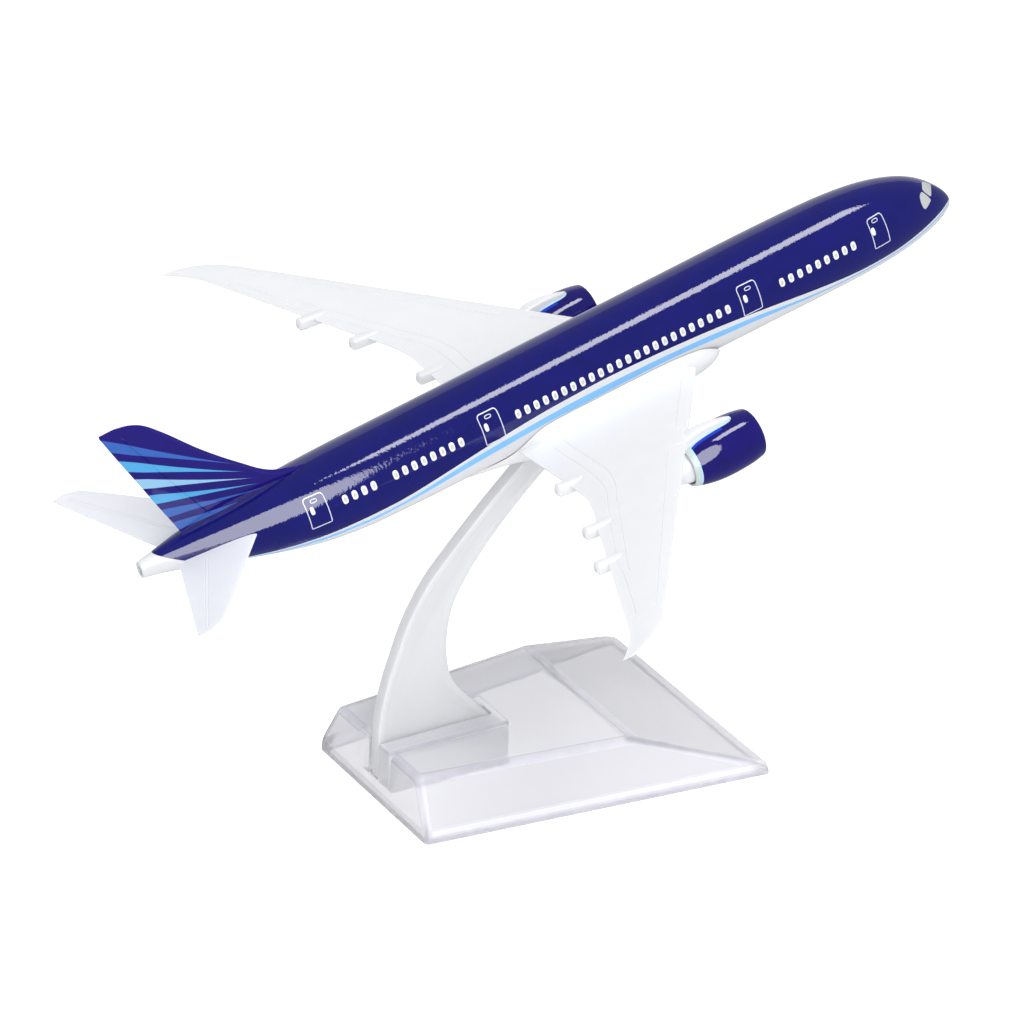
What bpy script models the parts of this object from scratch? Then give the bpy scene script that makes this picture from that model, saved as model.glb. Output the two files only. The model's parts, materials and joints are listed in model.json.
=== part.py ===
"""Desktop airliner model: a die-cast twin-engine wide-body airliner, nose up on a
translucent curved arm that stands in a clear moulded base.

+X runs towards the nose, +Y to the port side, +Z up.  The origin is on the surface the
base stands on, under the middle of the whole model.  The aircraft is drawn level in its
own frame, whose parent empty holds the nose-up pitch; the arm and the base are drawn in
the stand's frame.
"""

import math

import bmesh
import bpy
from mathutils import Matrix, Vector

MM = 0.001

# ---------------------------------------------------------------- driving dimensions (mm)
GAP = 0.3                      # clearance left between neighbouring pieces
STAND_X = 3.7                  # stand frame, ahead of the model's middle
AIRCRAFT_Z = 69.85             # height of the aircraft's reference point
PITCH = math.radians(13.8)     # nose-up attitude on the stand

# fuselage stations: x, crown, keel, half width
FUSELAGE = (
    (78.4, -1.75, -2.75, 0.55),
    (77.8, -0.55, -3.35, 1.55),
    (76.5, 1.15, -4.10, 2.75),
    (74.8, 2.80, -4.80, 3.85),
    (72.0, 4.80, -5.60, 5.05),
    (69.0, 6.10, -6.15, 5.95),
    (65.0, 7.20, -6.60, 6.80),
    (60.0, 7.98, -6.92, 7.35),
    (54.0, 8.40, -7.05, 7.65),
    (44.0, 8.55, -7.05, 7.75),
    (20.0, 8.35, -7.20, 7.75),
    (-28.0, 7.88, -7.66, 7.75),
    (-38.0, 7.80, -7.50, 7.70),
    (-46.0, 7.68, -6.75, 7.35),
    (-54.0, 7.40, -4.95, 6.45),
    (-62.0, 6.95, -2.55, 5.10),
    (-70.0, 6.20, -0.15, 3.25),
    (-76.0, 5.28, 1.42, 1.62),
    (-78.5, 4.88, 1.86, 1.10),
)
SHELL = 1.6                    # fuselage wall

# fin outline, height against leading and trailing edge, and thickness
FIN = (
    (5.6, -43.5, -69.7, 1.9),
    (7.6, -46.0, -70.5, 2.1),
    (8.4, -49.0, -70.8, 2.2),
    (9.6, -52.4, -71.3, 2.2),
    (13.5, -57.2, -72.9, 2.0),
    (19.3, -63.2, -75.2, 1.6),
    (26.0, -69.2, -77.9, 1.2),
    (28.6, -72.0, -78.9, 1.0),
    (29.7, -74.3, -79.3, 0.8),
    (30.1, -76.2, -79.3, 0.5),
)

# wing plan, span station against leading and trailing edge, and thickness
WING = (
    (0.0, 27.6, -12.0, 5.2),
    (7.6, 22.4, -12.1, 5.0),
    (9.2, 21.1, -12.1, 3.9),
    (11.5, 19.4, -12.1, 3.4),
    (18.0, 14.7, -12.1, 2.8),
    (28.0, 7.5, -12.2, 2.1),
    (31.0, 5.3, -12.9, 2.0),
    (40.0, -1.2, -16.6, 1.7),
    (50.0, -8.5, -20.7, 1.45),
    (60.0, -15.7, -24.8, 1.2),
    (67.0, -20.8, -27.7, 1.0),
    (70.0, -23.1, -29.0, 0.9),
    (72.5, -25.6, -30.7, 0.8),
    (74.3, -28.5, -32.4, 0.7),
    (75.4, -31.4, -33.5, 0.5),
)
WING_Z, WING_DIHEDRAL = -5.2, 0.0975

# wing-to-body fairing: x, crown, keel, half width
FAIRING = (
    (29.0, -2.0, -6.6, 6.3),
    (27.0, -0.9, -8.0, 7.6),
    (22.0, 0.9, -8.9, 8.5),
    (16.0, 1.4, -9.4, 8.9),
    (8.0, 1.4, -9.6, 9.0),
    (-2.0, 1.3, -9.6, 9.0),
    (-10.0, 1.0, -9.6, 8.8),
    (-16.0, 0.4, -9.2, 8.2),
    (-21.0, -1.0, -8.5, 7.1),
    (-25.0, -2.6, -7.4, 5.4),
)

TRACKS = ((22.4, -14.3), (37.8, -18.2), (48.4, -22.4))   # flap-track pods: span station, tail end

# tailplane: span station, leading edge, trailing edge, thickness
TAILPLANE = (
    (1.2, -56.0, -72.1, 2.2),
    (8.0, -61.8, -74.7, 1.7),
    (16.0, -68.7, -77.6, 1.2),
    (23.0, -74.7, -80.2, 0.8),
    (24.6, -76.3, -80.7, 0.65),
    (25.3, -78.2, -80.8, 0.45),
)
TAILPLANE_Z, TAILPLANE_DIHEDRAL = 2.75, 0.10
PEG_X, PEG_LENGTH, PEG_HEIGHT = -67.0, 5.0, 1.0

# engines
ENGINE_Y, ENGINE_X, ENGINE_Z = 25.8, 20.9, -7.95          # centre of the inlet lip
COWL_OUTER = ((0.0, 3.85), (-0.15, 4.05), (-0.55, 4.25), (-2.5, 4.60), (-5.0, 4.76),
              (-7.0, 4.78), (-9.0, 4.66), (-11.0, 4.34), (-12.5, 3.96), (-13.4, 3.66))
COWL_INNER = ((-13.4, 3.32), (-11.0, 3.70), (-7.0, 3.95), (-3.6, 3.90), (-1.4, 3.62), (-0.4, 3.62))
FAN = ((-2.2, 0.0), (-2.5, 0.45), (-3.2, 0.85), (-4.0, 1.10), (-4.0, 3.50), (-5.4, 3.50), (-5.4, 0.0))
CORE = ((-5.8, 0.0), (-5.8, 2.50), (-7.5, 3.00), (-11.0, 3.22), (-13.4, 2.96), (-15.0, 2.60),
        (-16.8, 2.10), (-16.8, 1.50), (-18.4, 0.40), (-18.4, 0.0))
PYLON_HALF = 1.0
PYLON = ((17.2, -2.95), (14.6, -2.05), (11.8, -1.60), (9.0, -1.50), (5.0, -1.95), (1.0, -2.7),
         (-3.0, -3.4), (-1.0, -4.3), (2.6, -5.0), (4.6, -5.0), (7.1, -4.6), (7.1, -3.95), (9.0, -3.35),
         (12.0, -2.98), (14.0, -2.85))

# arm, in the stand's frame: rear and front edges, from foot to tip (x, z)
ARM_HALF = 1.3
ARM_REAR = ((-33.0, 4.0), (-33.1, 10.0), (-32.8, 15.0), (-31.5, 21.2), (-30.0, 25.8), (-27.8, 31.8),
            (-24.2, 38.2), (-19.5, 43.7), (-13.1, 50.4), (-8.4, 54.95))
ARM_FRONT = ((-2.2, 54.6), (-6.9, 50.1), (-12.5, 44.0), (-17.1, 37.7), (-19.5, 32.6), (-20.3, 27.1),
             (-20.1, 23.2), (-19.2, 19.7), (-17.0, 16.4), (-13.6, 12.8), (-11.6, 10.5), (-11.6, 4.0))
TONGUE_HALF_WIDTH, TONGUE_HALF_THICK, TONGUE_DEPTH = 1.3, 0.8, 6.5
TONGUE_LEAN = math.radians(45.0)          # arm's upper end, from the horizontal
TONGUE_FOOT = (-2.7, -9.9)                # aircraft frame, x and z

# base, in the stand's frame
BASE_FOOT = ((-33.4, 18.0), (29.5, 25.4))              # x and half width, rear and front
BASE_TOP = ((-32.6, 13.4, 10.3), (6.9, 17.9, 9.5))     # x, half width and height
BASE_LIP = 1.8
BASE_WALL = 1.7
SLOT_FRONT, SLOT_FLOOR = -11.3, 3.7
SLOT_BLOCK = (-33.25, -9.9, 5.0, 2.6, 10.75)            # rear, front, half width, bottom, top

SCREWS = (17.0, -17.5)                    # belly screws, x in the aircraft's frame
SCREW_HEAD, SCREW_SHANK, SCREW_LENGTH = 1.35, 0.75, 6.0


# ---------------------------------------------------------------- numbers and curves
def smooth(table, at):
    """Monotone cubic through the table's first and later columns."""
    rows = sorted(table)
    xs = [r[0] for r in rows]
    at = min(max(at, xs[0]), xs[-1])
    out = []
    for c in range(1, len(rows[0])):
        ys = [r[c] for r in rows]
        d = [(ys[i + 1] - ys[i]) / (xs[i + 1] - xs[i]) for i in range(len(xs) - 1)]
        m = [d[0]] + [0.0 if d[i - 1] * d[i] <= 0 else 2 * d[i - 1] * d[i] / (d[i - 1] + d[i])
                      for i in range(1, len(d))] + [d[-1]]
        k = max(i for i in range(len(xs) - 1) if xs[i] <= at or i == 0)
        h = xs[k + 1] - xs[k]
        t = (at - xs[k]) / h
        out.append((2 * t**3 - 3 * t**2 + 1) * ys[k] + (t**3 - 2 * t**2 + t) * h * m[k]
                   + (-2 * t**3 + 3 * t**2) * ys[k + 1] + (t**3 - t**2) * h * m[k + 1])
    return out


def spline(points, per_span):
    """Catmull-Rom curve through the points."""
    out = []
    p = [points[0]] + list(points) + [points[-1]]
    for i in range(1, len(p) - 2):
        for j in range(per_span):
            t = j / per_span
            out.append(tuple(
                0.5 * (2 * p[i][k] + (p[i + 1][k] - p[i - 1][k]) * t
                       + (2 * p[i - 1][k] - 5 * p[i][k] + 4 * p[i + 1][k] - p[i + 2][k]) * t * t
                       + (3 * p[i][k] - p[i - 1][k] - 3 * p[i + 1][k] + p[i + 2][k]) * t**3)
                for k in range(2)))
    out.append(tuple(points[-1]))
    return out


def airfoil(lead, trail, thick, count=11):
    """Closed ring of (x, z) round a symmetric section with a blunt trailing edge."""
    chord = lead - trail
    upper = []
    for i in range(count):
        s = 0.5 * (1 - math.cos(math.pi * i / (count - 1)))
        half = 2.6 * thick * (0.2969 * math.sqrt(s) - 0.126 * s - 0.3516 * s**2 + 0.2843 * s**3 - 0.1015 * s**4) / 0.52
        half = max(half, 0.14 * s) if i else 0.0
        upper.append((lead - chord * s, half / 2))
    return upper + [(x, -z) for x, z in reversed(upper[1:])]


# ---------------------------------------------------------------- scene and objects
for old in list(bpy.data.objects):
    bpy.data.objects.remove(old, do_unlink=True)

model = bpy.data.collections.new("desktop_airliner_model")
cutters = bpy.data.collections.new("cutters")
bpy.context.scene.collection.children.link(model)
bpy.context.scene.collection.children.link(cutters)


def material(name, colour, roughness, metallic=0.0, transmission=0.0):
    mat = bpy.data.materials.new(name)
    mat.use_nodes = True
    shader = mat.node_tree.nodes["Principled BSDF"]
    shader.inputs["Base Color"].default_value = (*colour, 1.0)
    shader.inputs["Roughness"].default_value = roughness
    shader.inputs["Metallic"].default_value = metallic
    shader.inputs["Transmission Weight"].default_value = transmission
    return mat


NAVY = material("navy_enamel", (0.006, 0.012, 0.10), 0.12)
NAVY_COWL = material("navy_cowl_enamel", (0.006, 0.012, 0.10), 0.12)
WHITE = material("white_enamel", (0.82, 0.83, 0.84), 0.2)
WHITE_TAIL = material("white_tail_enamel", (0.82, 0.83, 0.84), 0.2)
CORE_WHITE = material("core_white_plastic", (0.78, 0.79, 0.80), 0.3)
FAN_GREY = material("fan_grey_plastic", (0.20, 0.21, 0.23), 0.35, 0.6)
STEEL = material("screw_steel", (0.55, 0.56, 0.58), 0.3, 1.0)
MILKY = material("milky_plastic", (0.80, 0.82, 0.84), 0.3, 0.0, 0.6)
CLEAR = material("clear_plastic", (0.86, 0.86, 0.93), 0.05, 0.0, 0.95)


def frame(name, location, pitch=0.0):
    empty = bpy.data.objects.new(name, None)
    empty.empty_display_size = 0.01
    empty.location = Vector(location) * MM
    empty.rotation_euler = (0.0, -pitch, 0.0)
    model.objects.link(empty)
    return empty


stand = frame("stand_frame", (STAND_X, 0, 0))
aircraft = frame("aircraft_frame", (STAND_X, 0, AIRCRAFT_Z), PITCH)


def add(name, mesh, parent, mat=None, smooth_shade=True):
    obj = bpy.data.objects.new(name, mesh)
    obj.parent = parent
    if mat is None:
        cutters.objects.link(obj)
        obj.hide_render = True
        obj.display_type = "WIRE"
    else:
        model.objects.link(obj)
        mesh.materials.append(mat)
        if smooth_shade:
            mesh.shade_smooth()
            mesh.set_sharp_from_angle(angle=math.radians(35))
    return obj


def mesh_from(name, bm):
    bmesh.ops.recalc_face_normals(bm, faces=bm.faces[:])
    mesh = bpy.data.meshes.new(name)
    bm.to_mesh(mesh)
    bm.free()
    return mesh


def loft(name, rings):
    """Closed skin through rings of equal count, capped at both ends."""
    bm = bmesh.new()
    rows = [[bm.verts.new(Vector(p) * MM) for p in ring] for ring in rings]
    n = len(rows[0])
    for a, b in zip(rows, rows[1:]):
        for i in range(n):
            bm.faces.new((a[i], a[(i + 1) % n], b[(i + 1) % n], b[i]))
    for row in (rows[0], rows[-1]):
        bm.faces.new(row)
    return mesh_from(name, bm)


def box(name, low, high):
    bm = bmesh.new()
    bmesh.ops.create_cube(bm, size=1.0)
    size = Vector(high) - Vector(low)
    bmesh.ops.scale(bm, vec=size * MM, verts=bm.verts[:])
    bmesh.ops.translate(bm, vec=(Vector(high) + Vector(low)) * 0.5 * MM, verts=bm.verts[:])
    return mesh_from(name, bm)


def post(name, x, y, low, high, radius, segments=20):
    """Upright cylinder."""
    bm = bmesh.new()
    bmesh.ops.create_cone(bm, cap_ends=True, segments=segments, radius1=radius * MM, radius2=radius * MM,
                          depth=(high - low) * MM)
    bmesh.ops.rotate(bm, verts=bm.verts[:], matrix=Matrix.Rotation(math.radians(7.0), 3, "Z"))
    bmesh.ops.translate(bm, vec=Vector((x, y, (low + high) / 2)) * MM, verts=bm.verts[:])
    return mesh_from(name, bm)


def plate(name, outline, half, bevel=0.0):
    """Flat outline in the XZ plane, extruded half its thickness each way along Y."""
    curve = bpy.data.curves.new(name + "_outline", "CURVE")
    curve.dimensions = "2D"
    curve.fill_mode = "BOTH"
    curve.extrude = half * MM
    line = curve.splines.new("POLY")
    line.points.add(len(outline) - 1)
    for point, (x, z) in zip(line.points, outline):
        point.co = (x * MM, z * MM, 0.0, 1.0)
    line.use_cyclic_u = True
    source = bpy.data.objects.new(name + "_outline", curve)
    model.objects.link(source)
    bpy.context.view_layer.update()
    mesh = bpy.data.meshes.new_from_object(source.evaluated_get(bpy.context.evaluated_depsgraph_get()))
    bpy.data.objects.remove(source, do_unlink=True)
    bpy.data.curves.remove(curve)
    bm = bmesh.new()
    bm.from_mesh(mesh)
    bmesh.ops.remove_doubles(bm, verts=bm.verts[:], dist=1e-6)
    bmesh.ops.rotate(bm, verts=bm.verts[:], matrix=Matrix.Rotation(math.radians(90), 3, "X"))
    bmesh.ops.recalc_face_normals(bm, faces=bm.faces[:])
    bm.to_mesh(mesh)
    bm.free()
    return mesh


def turned(name, outline, steps):
    """Closed or axis-to-axis profile of (axial, radius) for a Screw about local Z."""
    area = sum(a[0] * b[1] - b[0] * a[1] for a, b in zip(outline, outline[1:] + outline[:1]))
    pts = list(outline) if area > 0 else list(reversed(outline))
    bm = bmesh.new()
    verts = [bm.verts.new((r * MM, 0.0, a * MM)) for a, r in pts]
    on_axis = abs(pts[0][1]) < 1e-9 and abs(pts[-1][1]) < 1e-9
    for i in range(len(verts) - (1 if on_axis else 0)):
        bm.edges.new((verts[i], verts[(i + 1) % len(verts)]))
    mesh = bpy.data.meshes.new(name)
    bm.to_mesh(mesh)
    bm.free()
    return mesh


def spin(obj, steps):
    screw = obj.modifiers.new("turn", "SCREW")
    screw.axis = "Z"
    screw.angle = 2 * math.pi
    screw.steps = screw.render_steps = steps
    screw.use_merge_vertices = True
    screw.merge_threshold = 0.00001
    screw.use_smooth_shade = True
    return screw


def boolean(obj, other, operation):
    mod = obj.modifiers.new(operation.lower() + "_" + other.name, "BOOLEAN")
    mod.operation = operation
    mod.solver = "EXACT"
    mod.object = other
    return mod


def fuselage_ring(x, grow=0.0, count=28):
    crown, keel, half = smooth(FUSELAGE, x)
    middle, high = (crown + keel) / 2, (crown - keel) / 2 + grow
    return [(x, (half + grow) * math.cos(2 * math.pi * i / count), middle + high * math.sin(2 * math.pi * i / count))
            for i in range(count)]


# ---------------------------------------------------------------- fuselage
nose_steps = [78.4, 78.2, 77.8, 77.2, 76.4, 75.2, 73.6, 71.6, 69.2, 66.4, 63.0, 58.5, 53.0, 45.0]
body_steps = [30.0, 12.0, -8.0, -28.0]
tail_steps = [-36.0, -42.0, -48.0, -54.0, -60.0, -66.0, -71.0, -75.0, -78.5]
stations = nose_steps + body_steps + tail_steps

fuselage = add("fuselage", loft("fuselage", [fuselage_ring(x) for x in stations]), aircraft, NAVY)

fin = add("fin_blank", loft("fin_blank", [
    [(x, y, z) for x, y in airfoil(lead, trail, thick)] for z, lead, trail, thick in FIN]), aircraft)
boolean(fuselage, fin, "UNION")

cavity_steps = [62.0, 58.0, 50.0, 30.0, -20.0, -36.0, -44.0, -50.0]
cavity = add("cavity_cutter", loft("cavity_cutter", [fuselage_ring(x, -SHELL, 24) for x in cavity_steps]), aircraft)
boolean(fuselage, cavity, "DIFFERENCE")

belly_window = add("belly_window_cutter", box("belly_window_cutter", (-10.6, -3.9, -14), (7.8, 3.9, -3.5)), aircraft)
boolean(fuselage, belly_window, "DIFFERENCE")

for end, x in zip(("front", "rear"), SCREWS):
    boss = add("screw_boss_" + end, post("screw_boss_" + end, x, 0, -6.6, 7.2, 2.3), aircraft)
    boolean(fuselage, boss, "UNION")
    bore = add("screw_bore_" + end, post("screw_bore_" + end, x, 0, -14.0, -3.2, SCREW_SHANK + GAP), aircraft)
    boolean(fuselage, bore, "DIFFERENCE")

for side, s in (("left", 1), ("right", -1)):
    low, high = sorted((s * 0.7, s * 12.0))
    slot = add("tailplane_slot_" + side, box("tailplane_slot_" + side,
               (PEG_X - PEG_LENGTH / 2 - GAP, low, 3.1 - PEG_HEIGHT / 2 - GAP),
               (PEG_X + PEG_LENGTH / 2 + GAP, high, 3.1 + PEG_HEIGHT / 2 + GAP)), aircraft)
    boolean(fuselage, slot, "DIFFERENCE")

# ---------------------------------------------------------------- tailplanes
grown = add("fuselage_clearance", loft("fuselage_clearance", [fuselage_ring(x, GAP) for x in stations]), aircraft)

for side, s in (("left", 1), ("right", -1)):
    rings = [[(x, s * y, TAILPLANE_Z + TAILPLANE_DIHEDRAL * y + z) for x, z in airfoil(lead, trail, thick, 9)]
             for y, lead, trail, thick in TAILPLANE]
    tailplane = add(side + "_tailplane", loft(side + "_tailplane", rings), aircraft, WHITE_TAIL)
    boolean(tailplane, grown, "DIFFERENCE")
    low, high = sorted((s * 1.0, s * 5.2))
    peg = add("tailplane_peg_" + side, box("tailplane_peg_" + side,
              (PEG_X - PEG_LENGTH / 2, low, 3.1 - PEG_HEIGHT / 2),
              (PEG_X + PEG_LENGTH / 2, high, 3.1 + PEG_HEIGHT / 2)), aircraft)
    boolean(tailplane, peg, "UNION")

# ---------------------------------------------------------------- wing casting
half_rings = []
for y, lead, trail, thick in WING:
    half_rings.append((y, [(x, z) for x, z in airfoil(lead, trail, thick)]))
rings = [[(x, -y, WING_Z + WING_DIHEDRAL * y + z) for x, z in ring] for y, ring in reversed(half_rings[1:])]
rings += [[(x, y, WING_Z + WING_DIHEDRAL * y + z) for x, z in ring] for y, ring in half_rings]
wing = add("wing_casting", loft("wing_casting", rings), aircraft, WHITE)

fairing_rings = []
for i in range(17):
    x = FAIRING[0][0] + (FAIRING[-1][0] - FAIRING[0][0]) * i / 16
    crown, keel, half = smooth(FAIRING, x)
    middle, high = (crown + keel) / 2, (crown - keel) / 2
    fairing_rings.append([(x, half * math.cos(2 * math.pi * j / 28), middle + high * math.sin(2 * math.pi * j / 28))
                          for j in range(28)])
fairing = add("fairing_blank", loft("fairing_blank", fairing_rings), aircraft)
boolean(wing, fairing, "UNION")

for side, s in (("left", 1), ("right", -1)):
    pylon = add("pylon_" + side, plate("pylon_" + side, PYLON, PYLON_HALF), aircraft)
    pylon.location = (0.0, s * ENGINE_Y * MM, 0.0)
    boolean(wing, pylon, "UNION")
    for number, (y, tail) in enumerate(TRACKS, 1):
        bm = bmesh.new()
        bmesh.ops.create_uvsphere(bm, u_segments=10, v_segments=8, radius=MM,
                                  matrix=Matrix.Rotation(math.radians(90), 4, "Y"))
        bmesh.ops.scale(bm, vec=(5.0, 1.15, 1.15), verts=bm.verts[:])
        pod = add("flap_track_%s_%d" % (side, number), mesh_from("flap_track_%s_%d" % (side, number), bm), aircraft)
        pod.location = Vector((tail + 4.9, s * y, WING_Z + WING_DIHEDRAL * y - 0.8)) * MM
        pod.rotation_euler = (0.0, math.radians(6.0), 0.0)
        boolean(wing, pod, "UNION")

boolean(wing, grown, "DIFFERENCE")

socket = add("socket_boss", box("socket_boss", (-10.2, -3.5, -9.2), (7.4, 3.5, -3.0)), aircraft)
boolean(wing, socket, "UNION")

lean = TONGUE_LEAN - PITCH
along = Vector((math.cos(lean), 0, math.sin(lean)))
across = Vector((-math.sin(lean), 0, math.cos(lean)))
foot = Vector((TONGUE_FOOT[0], 0, TONGUE_FOOT[1]))


def tongue_box(name, before, after, half_width, half_thick):
    bm = bmesh.new()
    bmesh.ops.create_cube(bm, size=1.0)
    bmesh.ops.scale(bm, vec=Vector((before + after, 2 * half_thick, 2 * half_width)) * MM, verts=bm.verts[:])
    bmesh.ops.translate(bm, vec=Vector(((after - before) / 2, 0, 0)) * MM, verts=bm.verts[:])
    bmesh.ops.rotate(bm, verts=bm.verts[:], matrix=Matrix.Rotation(-lean, 3, "Y"))
    bmesh.ops.translate(bm, vec=foot * MM, verts=bm.verts[:])
    return mesh_from(name, bm)


arm_slot = add("arm_slot_cutter", tongue_box("arm_slot_cutter", 6.0, TONGUE_DEPTH + 0.4,
               TONGUE_HALF_WIDTH + GAP, TONGUE_HALF_THICK + GAP), aircraft)
boolean(wing, arm_slot, "DIFFERENCE")

for end, x in zip(("front", "rear"), SCREWS):
    keel = smooth(FAIRING, x)[1]
    hole = add("screw_hole_" + end, post("screw_hole_" + end, x, 0, -14.0, -4.0, SCREW_SHANK + GAP), aircraft)
    boolean(wing, hole, "DIFFERENCE")
    sink = add("screw_sink_" + end, post("screw_sink_" + end, x, 0, -14.0, keel + 0.75, SCREW_HEAD + GAP), aircraft)
    boolean(wing, sink, "DIFFERENCE")
    head = keel + 0.75 - GAP
    outline = [(head - 0.45, 0.0), (head - 0.45, SCREW_HEAD), (head, SCREW_HEAD), (head, SCREW_SHANK),
               (head + SCREW_LENGTH - 2.4, SCREW_SHANK), (head + SCREW_LENGTH - 1.9, 0.0)]
    screw = add("belly_screw_" + end, turned("belly_screw_" + end, outline, 20), aircraft, STEEL, False)
    screw.location = (x * MM, 0.0, 0.0)
    spin(screw, 20)

# ---------------------------------------------------------------- engines
to_x = math.radians(90)
for side, s in (("left", 1), ("right", -1)):
    place = Vector((ENGINE_X, s * ENGINE_Y, ENGINE_Z)) * MM
    for part, outline, mat, steps in (
            ("nacelle_cowl", list(COWL_OUTER) + list(COWL_INNER), NAVY_COWL, 32),
            ("fan_insert", list(FAN), FAN_GREY, 28),
            ("engine_core", list(CORE), CORE_WHITE, 24)):
        piece = add(side + "_" + part, turned(side + "_" + part, outline, steps), aircraft, mat, False)
        piece.location = place
        piece.rotation_euler = (0.0, to_x, 0.0)
        spin(piece, steps)

# ---------------------------------------------------------------- arm
rear = spline(ARM_REAR[1:], 3)
front = spline(ARM_FRONT[:-1], 3)
cp, sp = math.cos(PITCH), math.sin(PITCH)


def to_stand(x, z):
    """Aircraft frame to stand frame, in the plane of symmetry."""
    return (cp * x - sp * z, sp * x + cp * z + AIRCRAFT_Z)


def on_belly(start, direction, level):
    """Where a ray in the stand's frame crosses a level of the aircraft's frame."""
    x, z = start[0], start[1] - AIRCRAFT_Z
    height = -sp * x + cp * z
    rise = -sp * direction[0] + cp * direction[1]
    t = (level - height) / rise
    return (start[0] + t * direction[0], start[1] + t * direction[1])


way = (math.cos(TONGUE_LEAN), math.sin(TONGUE_LEAN))
shoulder = -9.6 - GAP
outline = [ARM_REAR[0]] + rear + [on_belly(ARM_REAR[-1], way, shoulder), on_belly(ARM_FRONT[0], way, shoulder)]
outline += front + [ARM_FRONT[-1]]
arm = add("stand_arm", plate("stand_arm", outline, ARM_HALF), stand, MILKY)
rounding = arm.modifiers.new("edge", "BEVEL")
rounding.width = 0.22 * MM
rounding.segments = 2
rounding.limit_method = "ANGLE"
rounding.angle_limit = math.radians(50)
tongue = add("arm_tongue", tongue_box("arm_tongue", 1.5, TONGUE_DEPTH, TONGUE_HALF_WIDTH, TONGUE_HALF_THICK), aircraft)
boolean(arm, tongue, "UNION")

# ---------------------------------------------------------------- base
(rear_x, rear_half), (front_x, front_half) = BASE_FOOT
(top_rear_x, top_rear_half, top_rear_z), (top_front_x, top_front_half, top_front_z) = BASE_TOP


def base_rings(inset, drop, foot_z, lip_z):
    low = [(rear_x + inset, -rear_half + inset), (front_x - inset, -front_half + inset),
           (front_x - inset, front_half - inset), (rear_x + inset, rear_half - inset)]
    top = [(top_rear_x + inset, -top_rear_half + inset, top_rear_z - drop),
           (top_front_x - inset * 0.5, -top_front_half + inset, top_front_z - drop),
           (top_front_x - inset * 0.5, top_front_half - inset, top_front_z - drop),
           (top_rear_x + inset, top_rear_half - inset, top_rear_z - drop)]
    return [[(x, y, foot_z) for x, y in low], [(x, y, lip_z) for x, y in low], top]


base_mesh = loft("stand_base", base_rings(0.0, 0.0, 0.0, BASE_LIP))
rounded = base_mesh.attributes.new("bevel_weight_edge", "FLOAT", "EDGE")
for edge in base_mesh.edges:
    heights = [base_mesh.vertices[v].co.z for v in edge.vertices]
    rounded.data[edge.index].value = 1.0 if max(heights) > 1e-6 else 0.0
base = add("stand_base", base_mesh, stand, CLEAR)
corners = base.modifiers.new("corners", "BEVEL")
corners.width = 1.2 * MM
corners.segments = 3
corners.limit_method = "WEIGHT"
hollow = add("base_hollow_cutter", loft("base_hollow_cutter", base_rings(BASE_WALL, BASE_WALL, -3.0, BASE_LIP - 0.6)), stand)
boolean(base, hollow, "DIFFERENCE")
pocket = add("slot_pocket", box("slot_pocket", (SLOT_BLOCK[0], -SLOT_BLOCK[2], SLOT_BLOCK[3]), (SLOT_BLOCK[1], SLOT_BLOCK[2], SLOT_BLOCK[4])), stand)
boolean(base, pocket, "UNION")
slot = add("slot_cutter", box("slot_cutter", (-37.0, -ARM_HALF - GAP, SLOT_FLOOR), (SLOT_FRONT, ARM_HALF + GAP, 16.0)), stand)
boolean(base, slot, "DIFFERENCE")
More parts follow.
